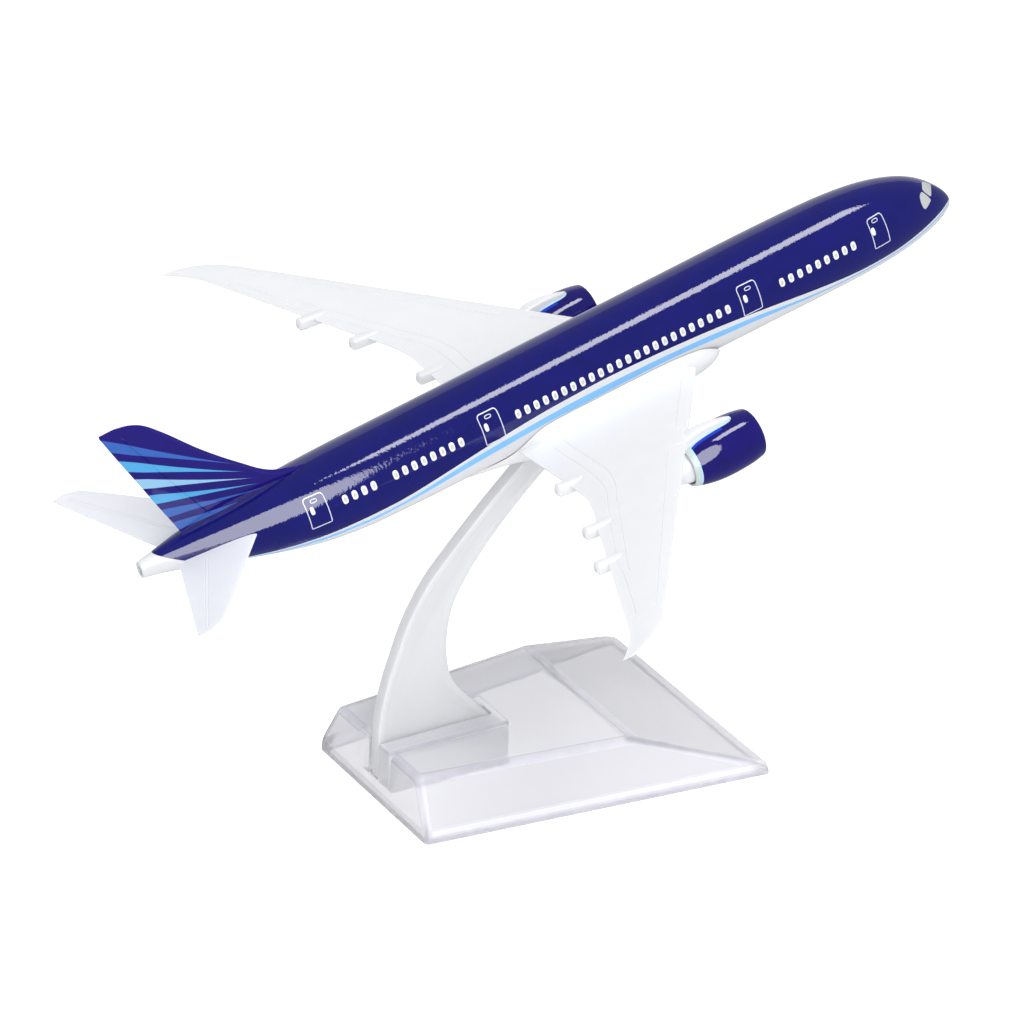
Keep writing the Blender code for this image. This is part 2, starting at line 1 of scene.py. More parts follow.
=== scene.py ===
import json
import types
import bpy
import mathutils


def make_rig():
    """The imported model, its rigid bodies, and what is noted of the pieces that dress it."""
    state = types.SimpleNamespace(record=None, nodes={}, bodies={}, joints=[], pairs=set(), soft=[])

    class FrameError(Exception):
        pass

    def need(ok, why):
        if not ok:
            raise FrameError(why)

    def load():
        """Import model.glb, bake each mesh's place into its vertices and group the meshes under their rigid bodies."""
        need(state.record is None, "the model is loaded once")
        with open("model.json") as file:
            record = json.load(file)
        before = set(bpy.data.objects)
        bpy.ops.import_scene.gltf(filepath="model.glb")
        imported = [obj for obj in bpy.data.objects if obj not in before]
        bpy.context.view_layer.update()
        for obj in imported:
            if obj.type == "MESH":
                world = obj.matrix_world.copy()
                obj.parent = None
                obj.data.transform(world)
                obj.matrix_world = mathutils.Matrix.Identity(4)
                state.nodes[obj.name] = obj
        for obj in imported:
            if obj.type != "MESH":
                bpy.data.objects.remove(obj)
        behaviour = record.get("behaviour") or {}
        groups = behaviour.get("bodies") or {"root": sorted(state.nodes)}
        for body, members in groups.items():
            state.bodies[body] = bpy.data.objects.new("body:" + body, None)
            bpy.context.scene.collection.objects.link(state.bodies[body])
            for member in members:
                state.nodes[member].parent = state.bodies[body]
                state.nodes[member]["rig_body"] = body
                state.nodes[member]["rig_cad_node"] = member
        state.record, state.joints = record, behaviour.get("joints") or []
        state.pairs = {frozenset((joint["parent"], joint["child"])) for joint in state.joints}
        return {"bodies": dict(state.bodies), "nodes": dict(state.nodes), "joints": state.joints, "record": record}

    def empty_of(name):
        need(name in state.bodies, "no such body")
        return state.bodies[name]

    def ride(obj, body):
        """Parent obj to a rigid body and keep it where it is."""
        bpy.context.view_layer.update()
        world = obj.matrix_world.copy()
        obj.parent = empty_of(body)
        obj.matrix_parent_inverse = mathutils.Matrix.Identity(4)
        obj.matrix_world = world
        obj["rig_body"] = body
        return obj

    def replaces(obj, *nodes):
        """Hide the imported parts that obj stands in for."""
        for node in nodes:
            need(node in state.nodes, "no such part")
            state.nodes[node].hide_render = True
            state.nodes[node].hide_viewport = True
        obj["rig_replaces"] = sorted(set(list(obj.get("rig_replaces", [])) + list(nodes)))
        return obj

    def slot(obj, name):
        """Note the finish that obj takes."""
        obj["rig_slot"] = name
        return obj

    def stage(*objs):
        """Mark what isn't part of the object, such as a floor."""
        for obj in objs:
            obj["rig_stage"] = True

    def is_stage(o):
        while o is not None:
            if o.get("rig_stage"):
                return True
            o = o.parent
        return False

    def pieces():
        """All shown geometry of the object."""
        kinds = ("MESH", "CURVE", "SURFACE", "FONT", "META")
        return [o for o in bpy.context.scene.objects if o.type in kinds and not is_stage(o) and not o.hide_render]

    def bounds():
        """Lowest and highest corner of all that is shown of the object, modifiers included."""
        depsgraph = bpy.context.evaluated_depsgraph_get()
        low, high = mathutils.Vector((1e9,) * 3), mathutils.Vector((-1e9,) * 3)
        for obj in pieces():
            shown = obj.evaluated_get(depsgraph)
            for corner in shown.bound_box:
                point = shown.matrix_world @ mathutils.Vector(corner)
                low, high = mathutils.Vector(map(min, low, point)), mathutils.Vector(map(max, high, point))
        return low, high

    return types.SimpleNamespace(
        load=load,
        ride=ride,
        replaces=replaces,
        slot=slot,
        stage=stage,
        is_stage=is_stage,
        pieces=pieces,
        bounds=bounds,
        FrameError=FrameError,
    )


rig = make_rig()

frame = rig.load()

# Looks of a desktop airliner model: enamelled die-cast aircraft, milky arm, clear base.
# Row frame: +X nose, +Y port, +Z up, metres.  Shapes below are drawn in millimetres, either in
# the aircraft's own frame (level) or in the stand's frame, and are placed when a piece is made.

import json
import math

import bmesh
import bpy
from mathutils import Matrix, Vector

MM = 0.001
STAND_X, AIRCRAFT_Z, PITCH = 3.7, 69.85, math.radians(13.8)
BODY = Matrix.Translation((STAND_X * MM, 0, AIRCRAFT_Z * MM)) @ Matrix.Rotation(-PITCH, 4, "Y")
STAND = Matrix.Translation((STAND_X * MM, 0, 0))
CAD_BOX = [[float(c) for c in corner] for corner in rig.bounds()]

# ---------------------------------------------------------------- tables, as in the CAD (mm)
FUSELAGE = (
    (78.4, -1.75, -2.75, 0.55), (77.8, -0.55, -3.35, 1.55), (76.5, 1.15, -4.10, 2.75),
    (74.8, 2.80, -4.80, 3.85), (72.0, 4.80, -5.60, 5.05), (69.0, 6.10, -6.15, 5.95),
    (65.0, 7.20, -6.60, 6.80), (60.0, 7.98, -6.92, 7.35), (54.0, 8.40, -7.05, 7.65),
    (44.0, 8.55, -7.05, 7.75), (20.0, 8.35, -7.20, 7.75), (-28.0, 7.88, -7.66, 7.75),
    (-38.0, 7.80, -7.50, 7.70), (-46.0, 7.68, -6.75, 7.35), (-54.0, 7.40, -4.95, 6.45),
    (-62.0, 6.95, -2.55, 5.10), (-70.0, 6.20, -0.15, 3.25), (-76.0, 5.28, 1.42, 1.62),
    (-78.5, 4.88, 1.86, 1.10))
FIN = (
    (5.6, -43.5, -69.7, 1.9), (7.6, -46.0, -70.5, 2.1), (8.4, -49.0, -70.8, 2.2), (9.6, -52.4, -71.3, 2.2),
    (13.5, -57.2, -72.9, 2.0), (19.3, -63.2, -75.2, 1.6), (26.0, -69.2, -77.9, 1.2), (28.6, -72.0, -78.9, 1.0),
    (29.7, -74.3, -79.3, 0.8), (30.1, -76.2, -79.3, 0.5))
WING = (
    (0.0, 27.6, -12.0, 5.2), (7.6, 22.4, -12.1, 5.0), (9.2, 21.1, -12.1, 3.9), (11.5, 19.4, -12.1, 3.4),
    (18.0, 14.7, -12.1, 2.8), (28.0, 7.5, -12.2, 2.1), (31.0, 5.3, -12.9, 2.0), (40.0, -1.2, -16.6, 1.7),
    (50.0, -8.5, -20.7, 1.45), (60.0, -15.7, -24.8, 1.2), (67.0, -20.8, -27.7, 1.0), (70.0, -23.1, -29.0, 0.9),
    (72.5, -25.6, -30.7, 0.8), (74.3, -28.5, -32.4, 0.7), (75.4, -31.4, -33.5, 0.5))
WING_Z, WING_DIHEDRAL = -5.2, 0.0975
FAIRING = (
    (29.0, -2.0, -6.6, 6.3), (27.0, -0.9, -8.0, 7.6), (22.0, 0.9, -8.9, 8.5), (16.0, 1.4, -9.4, 8.9),
    (8.0, 1.4, -9.6, 9.0), (-2.0, 1.3, -9.6, 9.0), (-7.0, 1.2, -9.6, 8.7), (-10.0, 0.9, -9.6, 7.5),
    (-13.0, 0.5, -9.4, 5.7), (-16.0, -0.2, -9.2, 4.6), (-21.0, -2.4, -8.6, 3.1), (-25.0, -4.4, -7.5, 2.0))
TRACKS = ((22.4, -14.3), (37.8, -18.2), (48.4, -22.4))
TAILPLANE = (
    (1.2, -56.0, -72.1, 2.2), (8.0, -61.8, -74.7, 1.7), (16.0, -68.7, -77.6, 1.2), (23.0, -74.7, -80.2, 0.8),
    (24.6, -76.3, -80.7, 0.65), (25.3, -78.2, -80.8, 0.45))
TAILPLANE_Z, TAILPLANE_DIHEDRAL = 2.75, 0.10
ENGINE_Y, ENGINE_X, ENGINE_Z = 25.8, 20.9, -7.95
COWL_OUTER = ((0.0, 3.85), (-0.15, 4.05), (-0.55, 4.25), (-2.5, 4.60), (-5.0, 4.76),
              (-7.0, 4.78), (-9.0, 4.66), (-11.0, 4.34), (-12.5, 3.96), (-13.4, 3.66))
COWL_INNER = ((-13.4, 3.32), (-11.0, 3.70), (-7.0, 3.95), (-3.6, 3.90), (-1.4, 3.62), (-0.4, 3.62))
ARM_HALF = 1.3
ARM_REAR = ((-33.0, 4.0), (-33.1, 10.0), (-32.8, 15.0), (-31.5, 21.2), (-30.0, 25.8), (-27.8, 31.8),
            (-24.2, 38.2), (-19.5, 43.7), (-13.1, 50.4), (-8.4, 54.95))
ARM_FRONT = ((-2.2, 54.6), (-6.9, 50.1), (-12.5, 44.0), (-17.1, 37.7), (-19.5, 32.6), (-20.3, 27.1),
             (-20.1, 23.2), (-19.2, 19.7), (-17.0, 16.4), (-13.6, 12.8), (-11.6, 10.5), (-11.6, 4.0))
TONGUE_HALF_WIDTH, TONGUE_HALF_THICK, TONGUE_DEPTH, TONGUE_LEAN = 1.3, 0.8, 6.5, math.radians(45.0)
TONGUE_FOOT = (-2.7, -9.9)
BASE_FOOT = ((-33.4, 18.0), (29.5, 25.4))
BASE_TOP = ((-32.6, 13.4, 10.3), (6.9, 17.9, 9.5))
BASE_LIP, BASE_WALL = 1.8, 1.7
SLOT_FRONT, SLOT_FLOOR, SLOT_BLOCK = -11.3, 3.7, (-33.25, -9.9, 5.0, 2.6, 10.75)
SCREWS = (17.0, -17.5)

# where the colours meet on the fuselage: x against degrees round the section,
# 90 at the crown, 180 at the side, 270 at the keel
NAVY_END = ((-78.5, 252), (-72, 240), (-66, 228), (-60, 218.7), (-55, 213.3), (-50, 206.7), (-45, 202), (-40, 198.7), (-35, 197),
            (-30, 192.5), (-25, 187.3), (-20, 182.7), (-15, 178.4), (-10, 175.3), (-5, 173), (0, 172), (5, 171.2),
            (10, 172), (15, 173.5), (20, 175.6), (25, 178), (30, 181.5), (35, 186), (40, 191), (45, 196.4), (50, 201.6),
            (55, 205.5), (58, 206.5), (62, 206), (66, 203), (70, 197.5), (73, 191), (75, 184), (76.5, 176), (77.8, 166), (78.4, 160))
BLUE_TOP = ((-78.5, 254), (-72, 242), (-66, 231), (-60, 221.3), (-55, 217.3), (-50, 210), (-45, 206.7), (-40, 204.7), (-35, 203.3),
            (-30, 198), (-25, 192), (-20, 187.3), (-15, 184.7), (-10, 182.7), (-5, 181), (0, 180), (5, 180),
            (10, 180.5), (15, 181.3), (20, 183), (25, 185), (30, 188.4), (35, 192), (40, 198), (45, 204), (50, 208.6),
            (55, 209.8), (60, 210.4), (66, 208), (70, 203), (73, 197), (75, 190), (76.5, 183), (77.8, 174), (78.4, 168))
BLUE_BOTTOM = ((-78.5, 258), (-72, 248), (-66, 238), (-60, 230), (-55, 224), (-50, 218), (-45, 213), (-40, 211.3), (-35, 208.7),
               (-30, 205.3), (-25, 200.7), (-20, 197.3), (-15, 194.5), (-10, 192), (-5, 190.5), (0, 190.7), (5, 190.3),
               (10, 189.7), (15, 189.9), (20, 191), (25, 194), (30, 197), (35, 200), (40, 204.5), (45, 209), (50, 212),
               (55, 213.5), (60, 214), (66, 212), (70, 207), (73, 201), (75, 195), (76.5, 188), (77.8, 180), (78.4, 174))


# ---------------------------------------------------------------- numbers and curves
def smooth(table, at):
    rows = sorted(table)
    xs = [r[0] for r in rows]
    at = min(max(at, xs[0]), xs[-1])
    out = []
    for c in range(1, len(rows[0])):
        ys = [r[c] for r in rows]
        d = [(ys[i + 1] - ys[i]) / (xs[i + 1] - xs[i]) for i in range(len(xs) - 1)]
        m = [d[0]] + [0.0 if d[i - 1] * d[i] <= 0 else 2 * d[i - 1] * d[i] / (d[i - 1] + d[i])
                      for i in range(1, len(d))] + [d[-1]]
        k = max(i for i in range(len(xs) - 1) if xs[i] <= at or i == 0)
        h = xs[k + 1] - xs[k]
        t = (at - xs[k]) / h
        out.append((2 * t**3 - 3 * t**2 + 1) * ys[k] + (t**3 - 2 * t**2 + t) * h * m[k]
                   + (-2 * t**3 + 3 * t**2) * ys[k + 1] + (t**3 - t**2) * h * m[k + 1])
    return out


def averaged(table, at, width=2.5):
    """smooth(), averaged over a short span so that highlights run without kinks."""
    ends = (min(r[0] for r in table), max(r[0] for r in table))
    w = min(width, 0.25 * min(abs(at - ends[0]), abs(ends[1] - at)))
    parts = [(smooth(table, at + w * d), weight) for d, weight in ((-1, 1), (-0.5, 4), (0, 6), (0.5, 4), (1, 1))]
    return [sum(p[c] * weight for p, weight in parts) / 16 for c in range(len(parts[0][0]))]


def spline(points, per_span):
    out = []
    p = [points[0]] + list(points) + [points[-1]]
    for i in range(1, len(p) - 2):
        for j in range(per_span):
            t = j / per_span
            out.append(tuple(
                0.5 * (2 * p[i][k] + (p[i + 1][k] - p[i - 1][k]) * t
                       + (2 * p[i - 1][k] - 5 * p[i][k] + 4 * p[i + 1][k] - p[i + 2][k]) * t * t
                       + (3 * p[i][k] - p[i - 1][k] - 3 * p[i + 1][k] + p[i + 2][k]) * t**3)
                for k in range(2)))
    out.append(tuple(points[-1]))
    return out


def spread(a, b, n):
    """n values after a, the last one b."""
    return [a + (b - a) * i / n for i in range(1, n + 1)]


# ---------------------------------------------------------------- materials
def sockets(mat):
    return mat.node_tree.nodes["Principled BSDF"].inputs


def finish_material(name, colour, roughness, *, metallic=0.0, coat=0.0, coat_rough=0.04, ior=1.5, transmission=0.0,
                    subsurface=0.0, subsurface_radius=(1, 1, 1), subsurface_scale=0.001, mottling=0.04,
                    mottling_scale=260.0, peel=0.010, peel_scale=700.0, rough_range=0.05, speck=0.0, specular=0.5):
    """Principled finish with small colour and roughness drift, moulding or orange-peel ripple and fine dust."""
    mat = bpy.data.materials.new(name)
    mat.use_nodes = True
    nt = mat.node_tree
    s = sockets(mat)
    s["Metallic"].default_value = metallic
    s["IOR"].default_value = ior
    s["Coat Weight"].default_value = coat
    s["Coat Roughness"].default_value = coat_rough
    s["Transmission Weight"].default_value = transmission
    s["Subsurface Weight"].default_value = subsurface
    s["Subsurface Radius"].default_value = subsurface_radius
    s["Subsurface Scale"].default_value = subsurface_scale
    s["Specular IOR Level"].default_value = specular
    where = nt.nodes.new("ShaderNodeTexCoord")

    def noise(scale, detail=3.0, rough=0.55):
        n = nt.nodes.new("ShaderNodeTexNoise")
        n.inputs["Scale"].default_value = scale
        n.inputs["Detail"].default_value = detail
        n.inputs["Roughness"].default_value = rough
        nt.links.new(where.outputs["Object"], n.inputs["Vector"])
        return n

    drift = noise(mottling_scale)
    ramp = nt.nodes.new("ShaderNodeValToRGB")
    ramp.color_ramp.elements[0].position, ramp.color_ramp.elements[1].position = 0.30, 0.70
    ramp.color_ramp.elements[0].color = (*[c * (1 - mottling) for c in colour], 1)
    ramp.color_ramp.elements[1].color = (*[min(1.0, c * (1 + mottling)) for c in colour], 1)
    nt.links.new(drift.outputs["Fac"], ramp.inputs["Fac"])
    colour_out = ramp.outputs["Color"]
    if speck:
        dust = noise(5200.0, 2.0)
        pick = nt.nodes.new("ShaderNodeValToRGB")
        pick.color_ramp.elements[0].position, pick.color_ramp.elements[1].position = 0.73, 0.79
        pick.color_ramp.elements[0].color, pick.color_ramp.elements[1].color = (0, 0, 0, 1), (speck, speck, speck, 1)
        nt.links.new(dust.outputs["Fac"], pick.inputs["Fac"])
        mix = nt.nodes.new("ShaderNodeMix")
        mix.data_type = "RGBA"
        nt.links.new(pick.outputs["Color"], mix.inputs["Factor"])
        nt.links.new(colour_out, mix.inputs["A"])
        mix.inputs["B"].default_value = (0.62, 0.62, 0.64, 1)
        colour_out = mix.outputs["Result"]
    nt.links.new(colour_out, s["Base Color"])
    rub = noise(mottling_scale * 2.3, 4.0, 0.6)
    span = nt.nodes.new("ShaderNodeMapRange")
    span.inputs["From Min"].default_value, span.inputs["From Max"].default_value = 0.3, 0.7
    span.inputs["To Min"].default_value = max(0.0, roughness - rough_range / 2)
    span.inputs["To Max"].default_value = roughness + rough_range / 2
    nt.links.new(rub.outputs["Fac"], span.inputs["Value"])
    nt.links.new(span.outputs["Result"], s["Roughness"])
    if peel:
        ripple = noise(peel_scale, 2.0, 0.5)
        bump = nt.nodes.new("ShaderNodeBump")
        bump.inputs["Strength"].default_value = 1.0
        bump.inputs["Distance"].default_value = peel * MM
        nt.links.new(ripple.outputs["Fac"], bump.inputs["Height"])
        nt.links.new(bump.outputs["Normal"], s["Normal"])
        if coat:
            nt.links.new(bump.outputs["Normal"], s["Coat Normal"])
    mat["ramp"] = ramp.name
    return mat


NAVY_RGB = (0.0034, 0.0040, 0.1140)
NAVY = finish_material("navy_enamel_finish", NAVY_RGB, 0.34, coat=1.0, coat_rough=0.02, mottling=0.10, peel=0.0120, peel_scale=2100, speck=0.10, specular=0.0)
COWL = finish_material("navy_cowl_finish", (0.0055, 0.0024, 0.1180), 0.34, coat=1.0, coat_rough=0.02, mottling=0.10, peel=0.0110, peel_scale=2100, speck=0.08, specular=0.0)
WHITE = finish_material("white_enamel_finish", (0.712, 0.715, 0.726), 0.36, specular=0.25, coat=0.06, coat_rough=0.15, mottling=0.012, peel=0.0016, peel_scale=500)
TAIL_WHITE = finish_material("white_tail_finish", (0.725, 0.734, 0.766), 0.36, specular=0.25, coat=0.06, coat_rough=0.15, mottling=0.012, peel=0.0016, peel_scale=500)
# Darker copy of the white enamel for the fuselage's white line, belly and tail cone: painted shade for the lower side.
SHADED_BELLY_WHITE = finish_material("belly_white_finish", (0.632, 0.641, 0.663), 0.30, specular=0.2, coat=0.08, coat_rough=0.10, mottling=0.012, peel=0.0020, peel_scale=500)
SKY = finish_material("sky_blue_finish", (0.20, 0.47, 0.82), 0.30, specular=0.1, coat=0.15, coat_rough=0.06, mottling=0.08, mottling_scale=60, peel=0.006, peel_scale=650)
CYAN = finish_material("pale_cyan_finish", (0.38, 0.62, 0.80), 0.26, specular=0.2, coat=0.2, coat_rough=0.06, mottling=0.06, peel=0.006, peel_scale=650)
FRINGE = finish_material("bright_blue_finish", (0.012, 0.035, 0.42), 0.30, coat=1.0, coat_rough=0.02, mottling=0.06, peel=0.0028, peel_scale=3000, specular=0.0)
BAND = finish_material("rear_band_finish", (0.49, 0.56, 0.56), 0.30, specular=0.2, coat=0.15, coat_rough=0.08, mottling=0.03, peel=0.006, peel_scale=650)
PRINT_WHITE = finish_material("print_white_finish", (0.72, 0.73, 0.745), 0.34, coat=0.3, coat_rough=0.12, mottling=0.03, peel=0.004, peel_scale=1500)
PANE_GREY = finish_material("print_grey_finish", (0.50, 0.51, 0.50), 0.32, coat=0.3, coat_rough=0.12, mottling=0.06, peel=0.004, peel_scale=1500)
DOOR_LINE = finish_material("door_line_finish", (0.56, 0.58, 0.68), 0.36, coat=0.3, coat_rough=0.12, mottling=0.10, mottling_scale=900, peel=0.004, peel_scale=1500)
COCKPIT = finish_material("cockpit_print_finish", (0.45, 0.46, 0.46), 0.30, coat=0.4, coat_rough=0.10, mottling=0.05, peel=0.004, peel_scale=1500)
FAN_METAL = finish_material("fan_finish", (0.20, 0.21, 0.23), 0.34, metallic=0.75, mottling=0.10, mottling_scale=900, peel=0.006, peel_scale=1800)
SPINNER = finish_material("spinner_finish", (0.30, 0.31, 0.34), 0.30, metallic=0.55, mottling=0.08, mottling_scale=900, peel=0.004, peel_scale=1800)
CORE = finish_material("core_finish", (0.69, 0.70, 0.73), 0.36, specular=0.3, mottling=0.03, peel=0.010, peel_scale=700)
INNER = finish_material("cowl_inner_finish", (0.40, 0.41, 0.44), 0.42, metallic=0.2, mottling=0.06, peel=0.010, peel_scale=700)
STEEL = finish_material("screw_finish", (0.55, 0.56, 0.58), 0.30, metallic=1.0, mottling=0.08, mottling_scale=2500, peel=0.006, peel_scale=2600)
MILKY = finish_material("milky_finish", (0.720, 0.725, 0.742), 0.36, specular=0.30, transmission=0.15, ior=1.49, subsurface=0.70,
                        subsurface_radius=(1.0, 1.0, 1.0), subsurface_scale=0.0028, mottling=0.012, mottling_scale=90,
                        peel=0.012, peel_scale=420, rough_range=0.06)
CLEAR = finish_material("clear_finish", (0.765, 0.762, 0.784), 0.04, transmission=0.64, ior=1.24, mottling=0.006,
                        mottling_scale=90, peel=0.010, peel_scale=130, rough_range=0.02)
# Lavender copy of the clear plastic for the rounded edges: painted light, the tint that light picks up running through
# the thick edges.
CLEAR_RIDGE_TINT = finish_material("clear_ridge_finish", (0.800, 0.792, 0.855), 0.06, transmission=0.62, ior=1.24, mottling=0.05,
                              mottling_scale=420, peel=0.012, peel_scale=300, rough_range=0.02)
# Lighter copy of the clear plastic for the slot block: painted light that lifts the shade seen through its stacked
# walls.
LIFTED_CLEAR_BLOCK = finish_material("clear_block_finish", (0.875, 0.872, 0.900), 0.05, transmission=0.58, ior=1.20, mottling=0.006,
                              mottling_scale=120, peel=0.010, peel_scale=150, rough_range=0.02)
# Pale copy of the clear plastic for a low band on the sides: a painted glint along the lower edge.
CLEAR_LIP_GLINT = finish_material("clear_lip_finish", (0.92, 0.92, 0.94), 0.04, transmission=0.60, ior=1.24, mottling=0.03,
                            mottling_scale=300, peel=0.012, peel_scale=300, rough_range=0.02)


def stripes_material():
    """Navy fin with an evenly stepped fan of tapering blue bands, worked out from body coordinates."""
    mat = finish_material("fin_finish", (0.010, 0.0045, 0.150), 0.34, coat=1.0, coat_rough=0.04, mottling=0.08, peel=0.0030, peel_scale=3000, speck=0.06, specular=0.0)
    nt = mat.node_tree
    s = sockets(mat)
    base = s["Base Color"].links[0].from_socket
    where = nt.nodes.new("ShaderNodeTexCoord")
    level = nt.nodes.new("ShaderNodeMapping")
    level.vector_type = "TEXTURE"
    level.inputs["Location"].default_value = (STAND_X * MM, 0, AIRCRAFT_Z * MM)
    level.inputs["Rotation"].default_value = (0, -PITCH, 0)
    nt.links.new(where.outputs["Object"], level.inputs["Vector"])
    axes = nt.nodes.new("ShaderNodeSeparateXYZ")
    nt.links.new(level.outputs["Vector"], axes.inputs["Vector"])

    def calc(op, a, b=None, c=None):
        n = nt.nodes.new("ShaderNodeMath")
        n.operation = op
        for i, v in enumerate((a, b, c)):
            if v is None:
                continue
            if isinstance(v, (int, float)):
                n.inputs[i].default_value = v
            else:
                nt.links.new(v, n.inputs[i])
        return n.outputs["Value"]

    x, z = calc("MULTIPLY", axes.outputs["X"], 1000.0), calc("MULTIPLY", axes.outputs["Z"], 1000.0)
    u = calc("SUBTRACT", -46.2, x)
    v = calc("SUBTRACT", z, 5.7)
    k = calc("DIVIDE", v, calc("MAXIMUM", u, 0.5))
    step, first, count = 0.118, 0.035, 6
    t = calc("DIVIDE", calc("SUBTRACT", k, first), step)
    part = calc("FRACT", t)
    # bands open out from a point: nothing at the start, about a third of the pitch at the trailing edge
    start = calc("MULTIPLY_ADD", k, 9.0, 5.5)
    grow = calc("MULTIPLY", calc("SUBTRACT", u, start), 1.0 / 17.0)
    half = calc("MULTIPLY", calc("MINIMUM", calc("MAXIMUM", grow, 0.0), 1.0), 0.30)
    off = calc("ABSOLUTE", calc("SUBTRACT", part, 0.5))
    soft = calc("DIVIDE", calc("SUBTRACT", half, off), 0.025)
    inside = calc("MINIMUM", calc("MAXIMUM", soft, 0.0), 1.0)
    inside = calc("MULTIPLY", inside, calc("GREATER_THAN", t, 0.0))
    inside = calc("MULTIPLY", inside, calc("LESS_THAN", t, float(count)))
    inside = calc("MULTIPLY", inside, calc("GREATER_THAN", half, 0.006))
    tint = nt.nodes.new("ShaderNodeValToRGB")
    tint.color_ramp.interpolation = "CONSTANT"
    mid, light, pale = (0.034, 0.112, 0.42, 1), (0.072, 0.34, 0.63, 1), (0.25, 0.48, 0.68, 1)
    colours = [mid, mid, light, pale, light, mid]
    ramp = tint.color_ramp
    ramp.elements[0].color = colours[0]
    ramp.elements[1].position, ramp.elements[1].color = 1.0 / count, colours[1]
    for i in range(2, count):
        ramp.elements.new(i / count).color = colours[i]
    nt.links.new(calc("DIVIDE", t, float(count)), tint.inputs["Fac"])
    mix = nt.nodes.new("ShaderNodeMix")
    mix.data_type = "RGBA"
    nt.links.new(inside, mix.inputs["Factor"])
    nt.links.new(base, mix.inputs["A"])
    nt.links.new(tint.outputs["Color"], mix.inputs["B"])
    nt.links.new(mix.outputs["Result"], s["Base Color"])
    return mat


FIN_PAINT = stripes_material()


# ---------------------------------------------------------------- mesh building
class Skin:
    """Collects vertices in millimetres and faces with a material number."""

    def __init__(self):
        self.verts, self.faces, self.mats = [], [], []

    def point(self, p):
        self.verts.append(tuple(p))
        return len(self.verts) - 1

    def row(self, points):
        return [self.point(p) for p in points]

    def face(self, ids, mat=0):
        clean = [v for i, v in enumerate(ids) if v != ids[i - 1]]
        if len(clean) > 2:
            self.faces.append(clean)
            self.mats.append(mat)

    def loft(self, rows, mat=0, closed=True, first=None, last=None):
        """rows: lists of points of one length. mat: number, or a function of row and column."""
        ids = [self.row(r) for r in rows]
        n = len(ids[0])
        for i, (a, b) in enumerate(zip(ids, ids[1:])):
            for j in range(n if closed else n - 1):
                k = (j + 1) % n
                self.face((a[j], a[k], b[k], b[j]), mat(i, j) if callable(mat) else mat)
        for end, cap in ((ids[0], first), (ids[-1], last)):
            if isinstance(cap, tuple):
                tip = self.point(cap[:3])
                for j in range(n):
                    m = mat(0 if end is ids[0] else len(rows) - 2, j) if callable(mat) else mat
                    self.face((end[j], end[(j + 1) % n], tip), m)
            elif cap is not None:
                self.face(end, cap)
        return ids

    def bm(self):
        bm = bmesh.new()
        vs = [bm.verts.new(Vector(p) * MM) for p in self.verts]
        for ids, m in zip(self.faces, self.mats):
            try:
                f = bm.faces.new([vs[i] for i in ids])
                f.material_index = m
            except ValueError:
                pass
        for v in [v for v in bm.verts if not v.link_faces]:
            bm.verts.remove(v)
        bmesh.ops.recalc_face_normals(bm, faces=bm.faces[:])
        return bm

    def mesh(self, name):
        bm = self.bm()
        mesh = bpy.data.meshes.new(name)
        bm.to_mesh(mesh)
        bm.free()
        return mesh


def piece(name, mesh, mats, place, body, slot, replaces=(), sharp=35.0):
    """Puts a mesh into the scene in row coordinates, on its body."""
    if isinstance(mesh, Skin):
        mesh = mesh.mesh(name)
    mesh.transform(place)
    numbers = [p.material_index for p in mesh.polygons]
    mesh.materials.clear()
    for m in mats:
        mesh.materials.append(m)
    mesh.polygons.foreach_set("material_index", [min(n, len(mats) - 1) for n in numbers])
    mesh.shade_smooth()
    mesh.set_sharp_from_angle(angle=math.radians(sharp))
    obj = bpy.data.objects.new(name, mesh)
    bpy.context.scene.collection.objects.link(obj)
    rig.ride(obj, body)
    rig.slot(obj, slot)
    if replaces:
        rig.replaces(obj, *replaces)
    return obj


def applied(mesh, steps):
    """mesh after modifiers: steps is a list of (type, settings, other mesh or None)."""
    host = bpy.data.objects.new("work", mesh)
    bpy.context.scene.collection.objects.link(host)
    extra = []
    for kind, settings, other in steps:
        mod = host.modifiers.new(kind.lower(), kind)
        for key, value in settings.items():
            setattr(mod, key, value)
        if other is not None:
            tool = bpy.data.objects.new("tool", other)
            bpy.context.scene.collection.objects.link(tool)
            mod.object = tool
            extra.append(tool)
    bpy.context.view_layer.update()
    result = bpy.data.meshes.new_from_object(host.evaluated_get(bpy.context.evaluated_depsgraph_get()))
    for obj in [host] + extra:
        bpy.data.objects.remove(obj, do_unlink=True)
    return result


def cut(settings=None):
    return {"operation": "DIFFERENCE", "solver": "MANIFOLD"}


def joined():
    return {"operation": "UNION", "solver": "MANIFOLD"}


# ---------------------------------------------------------------- fuselage surface
def section(x):
    """Middle height, half height and half width of the fuselage."""
    if x > 77.8:
        crown, keel, half = averaged(FUSELAGE, 77.8)
        f = math.sqrt(max(0.0, (78.4 - x) / 0.6))
        middle = (crown + keel) / 2 + (-2.25 - (crown + keel) / 2) * (x - 77.8) / 0.6
        return middle, (crown - keel) / 2 * f, half * f
    crown, keel, half = averaged(FUSELAGE, x)
    return (crown + keel) / 2, (crown - keel) / 2, half


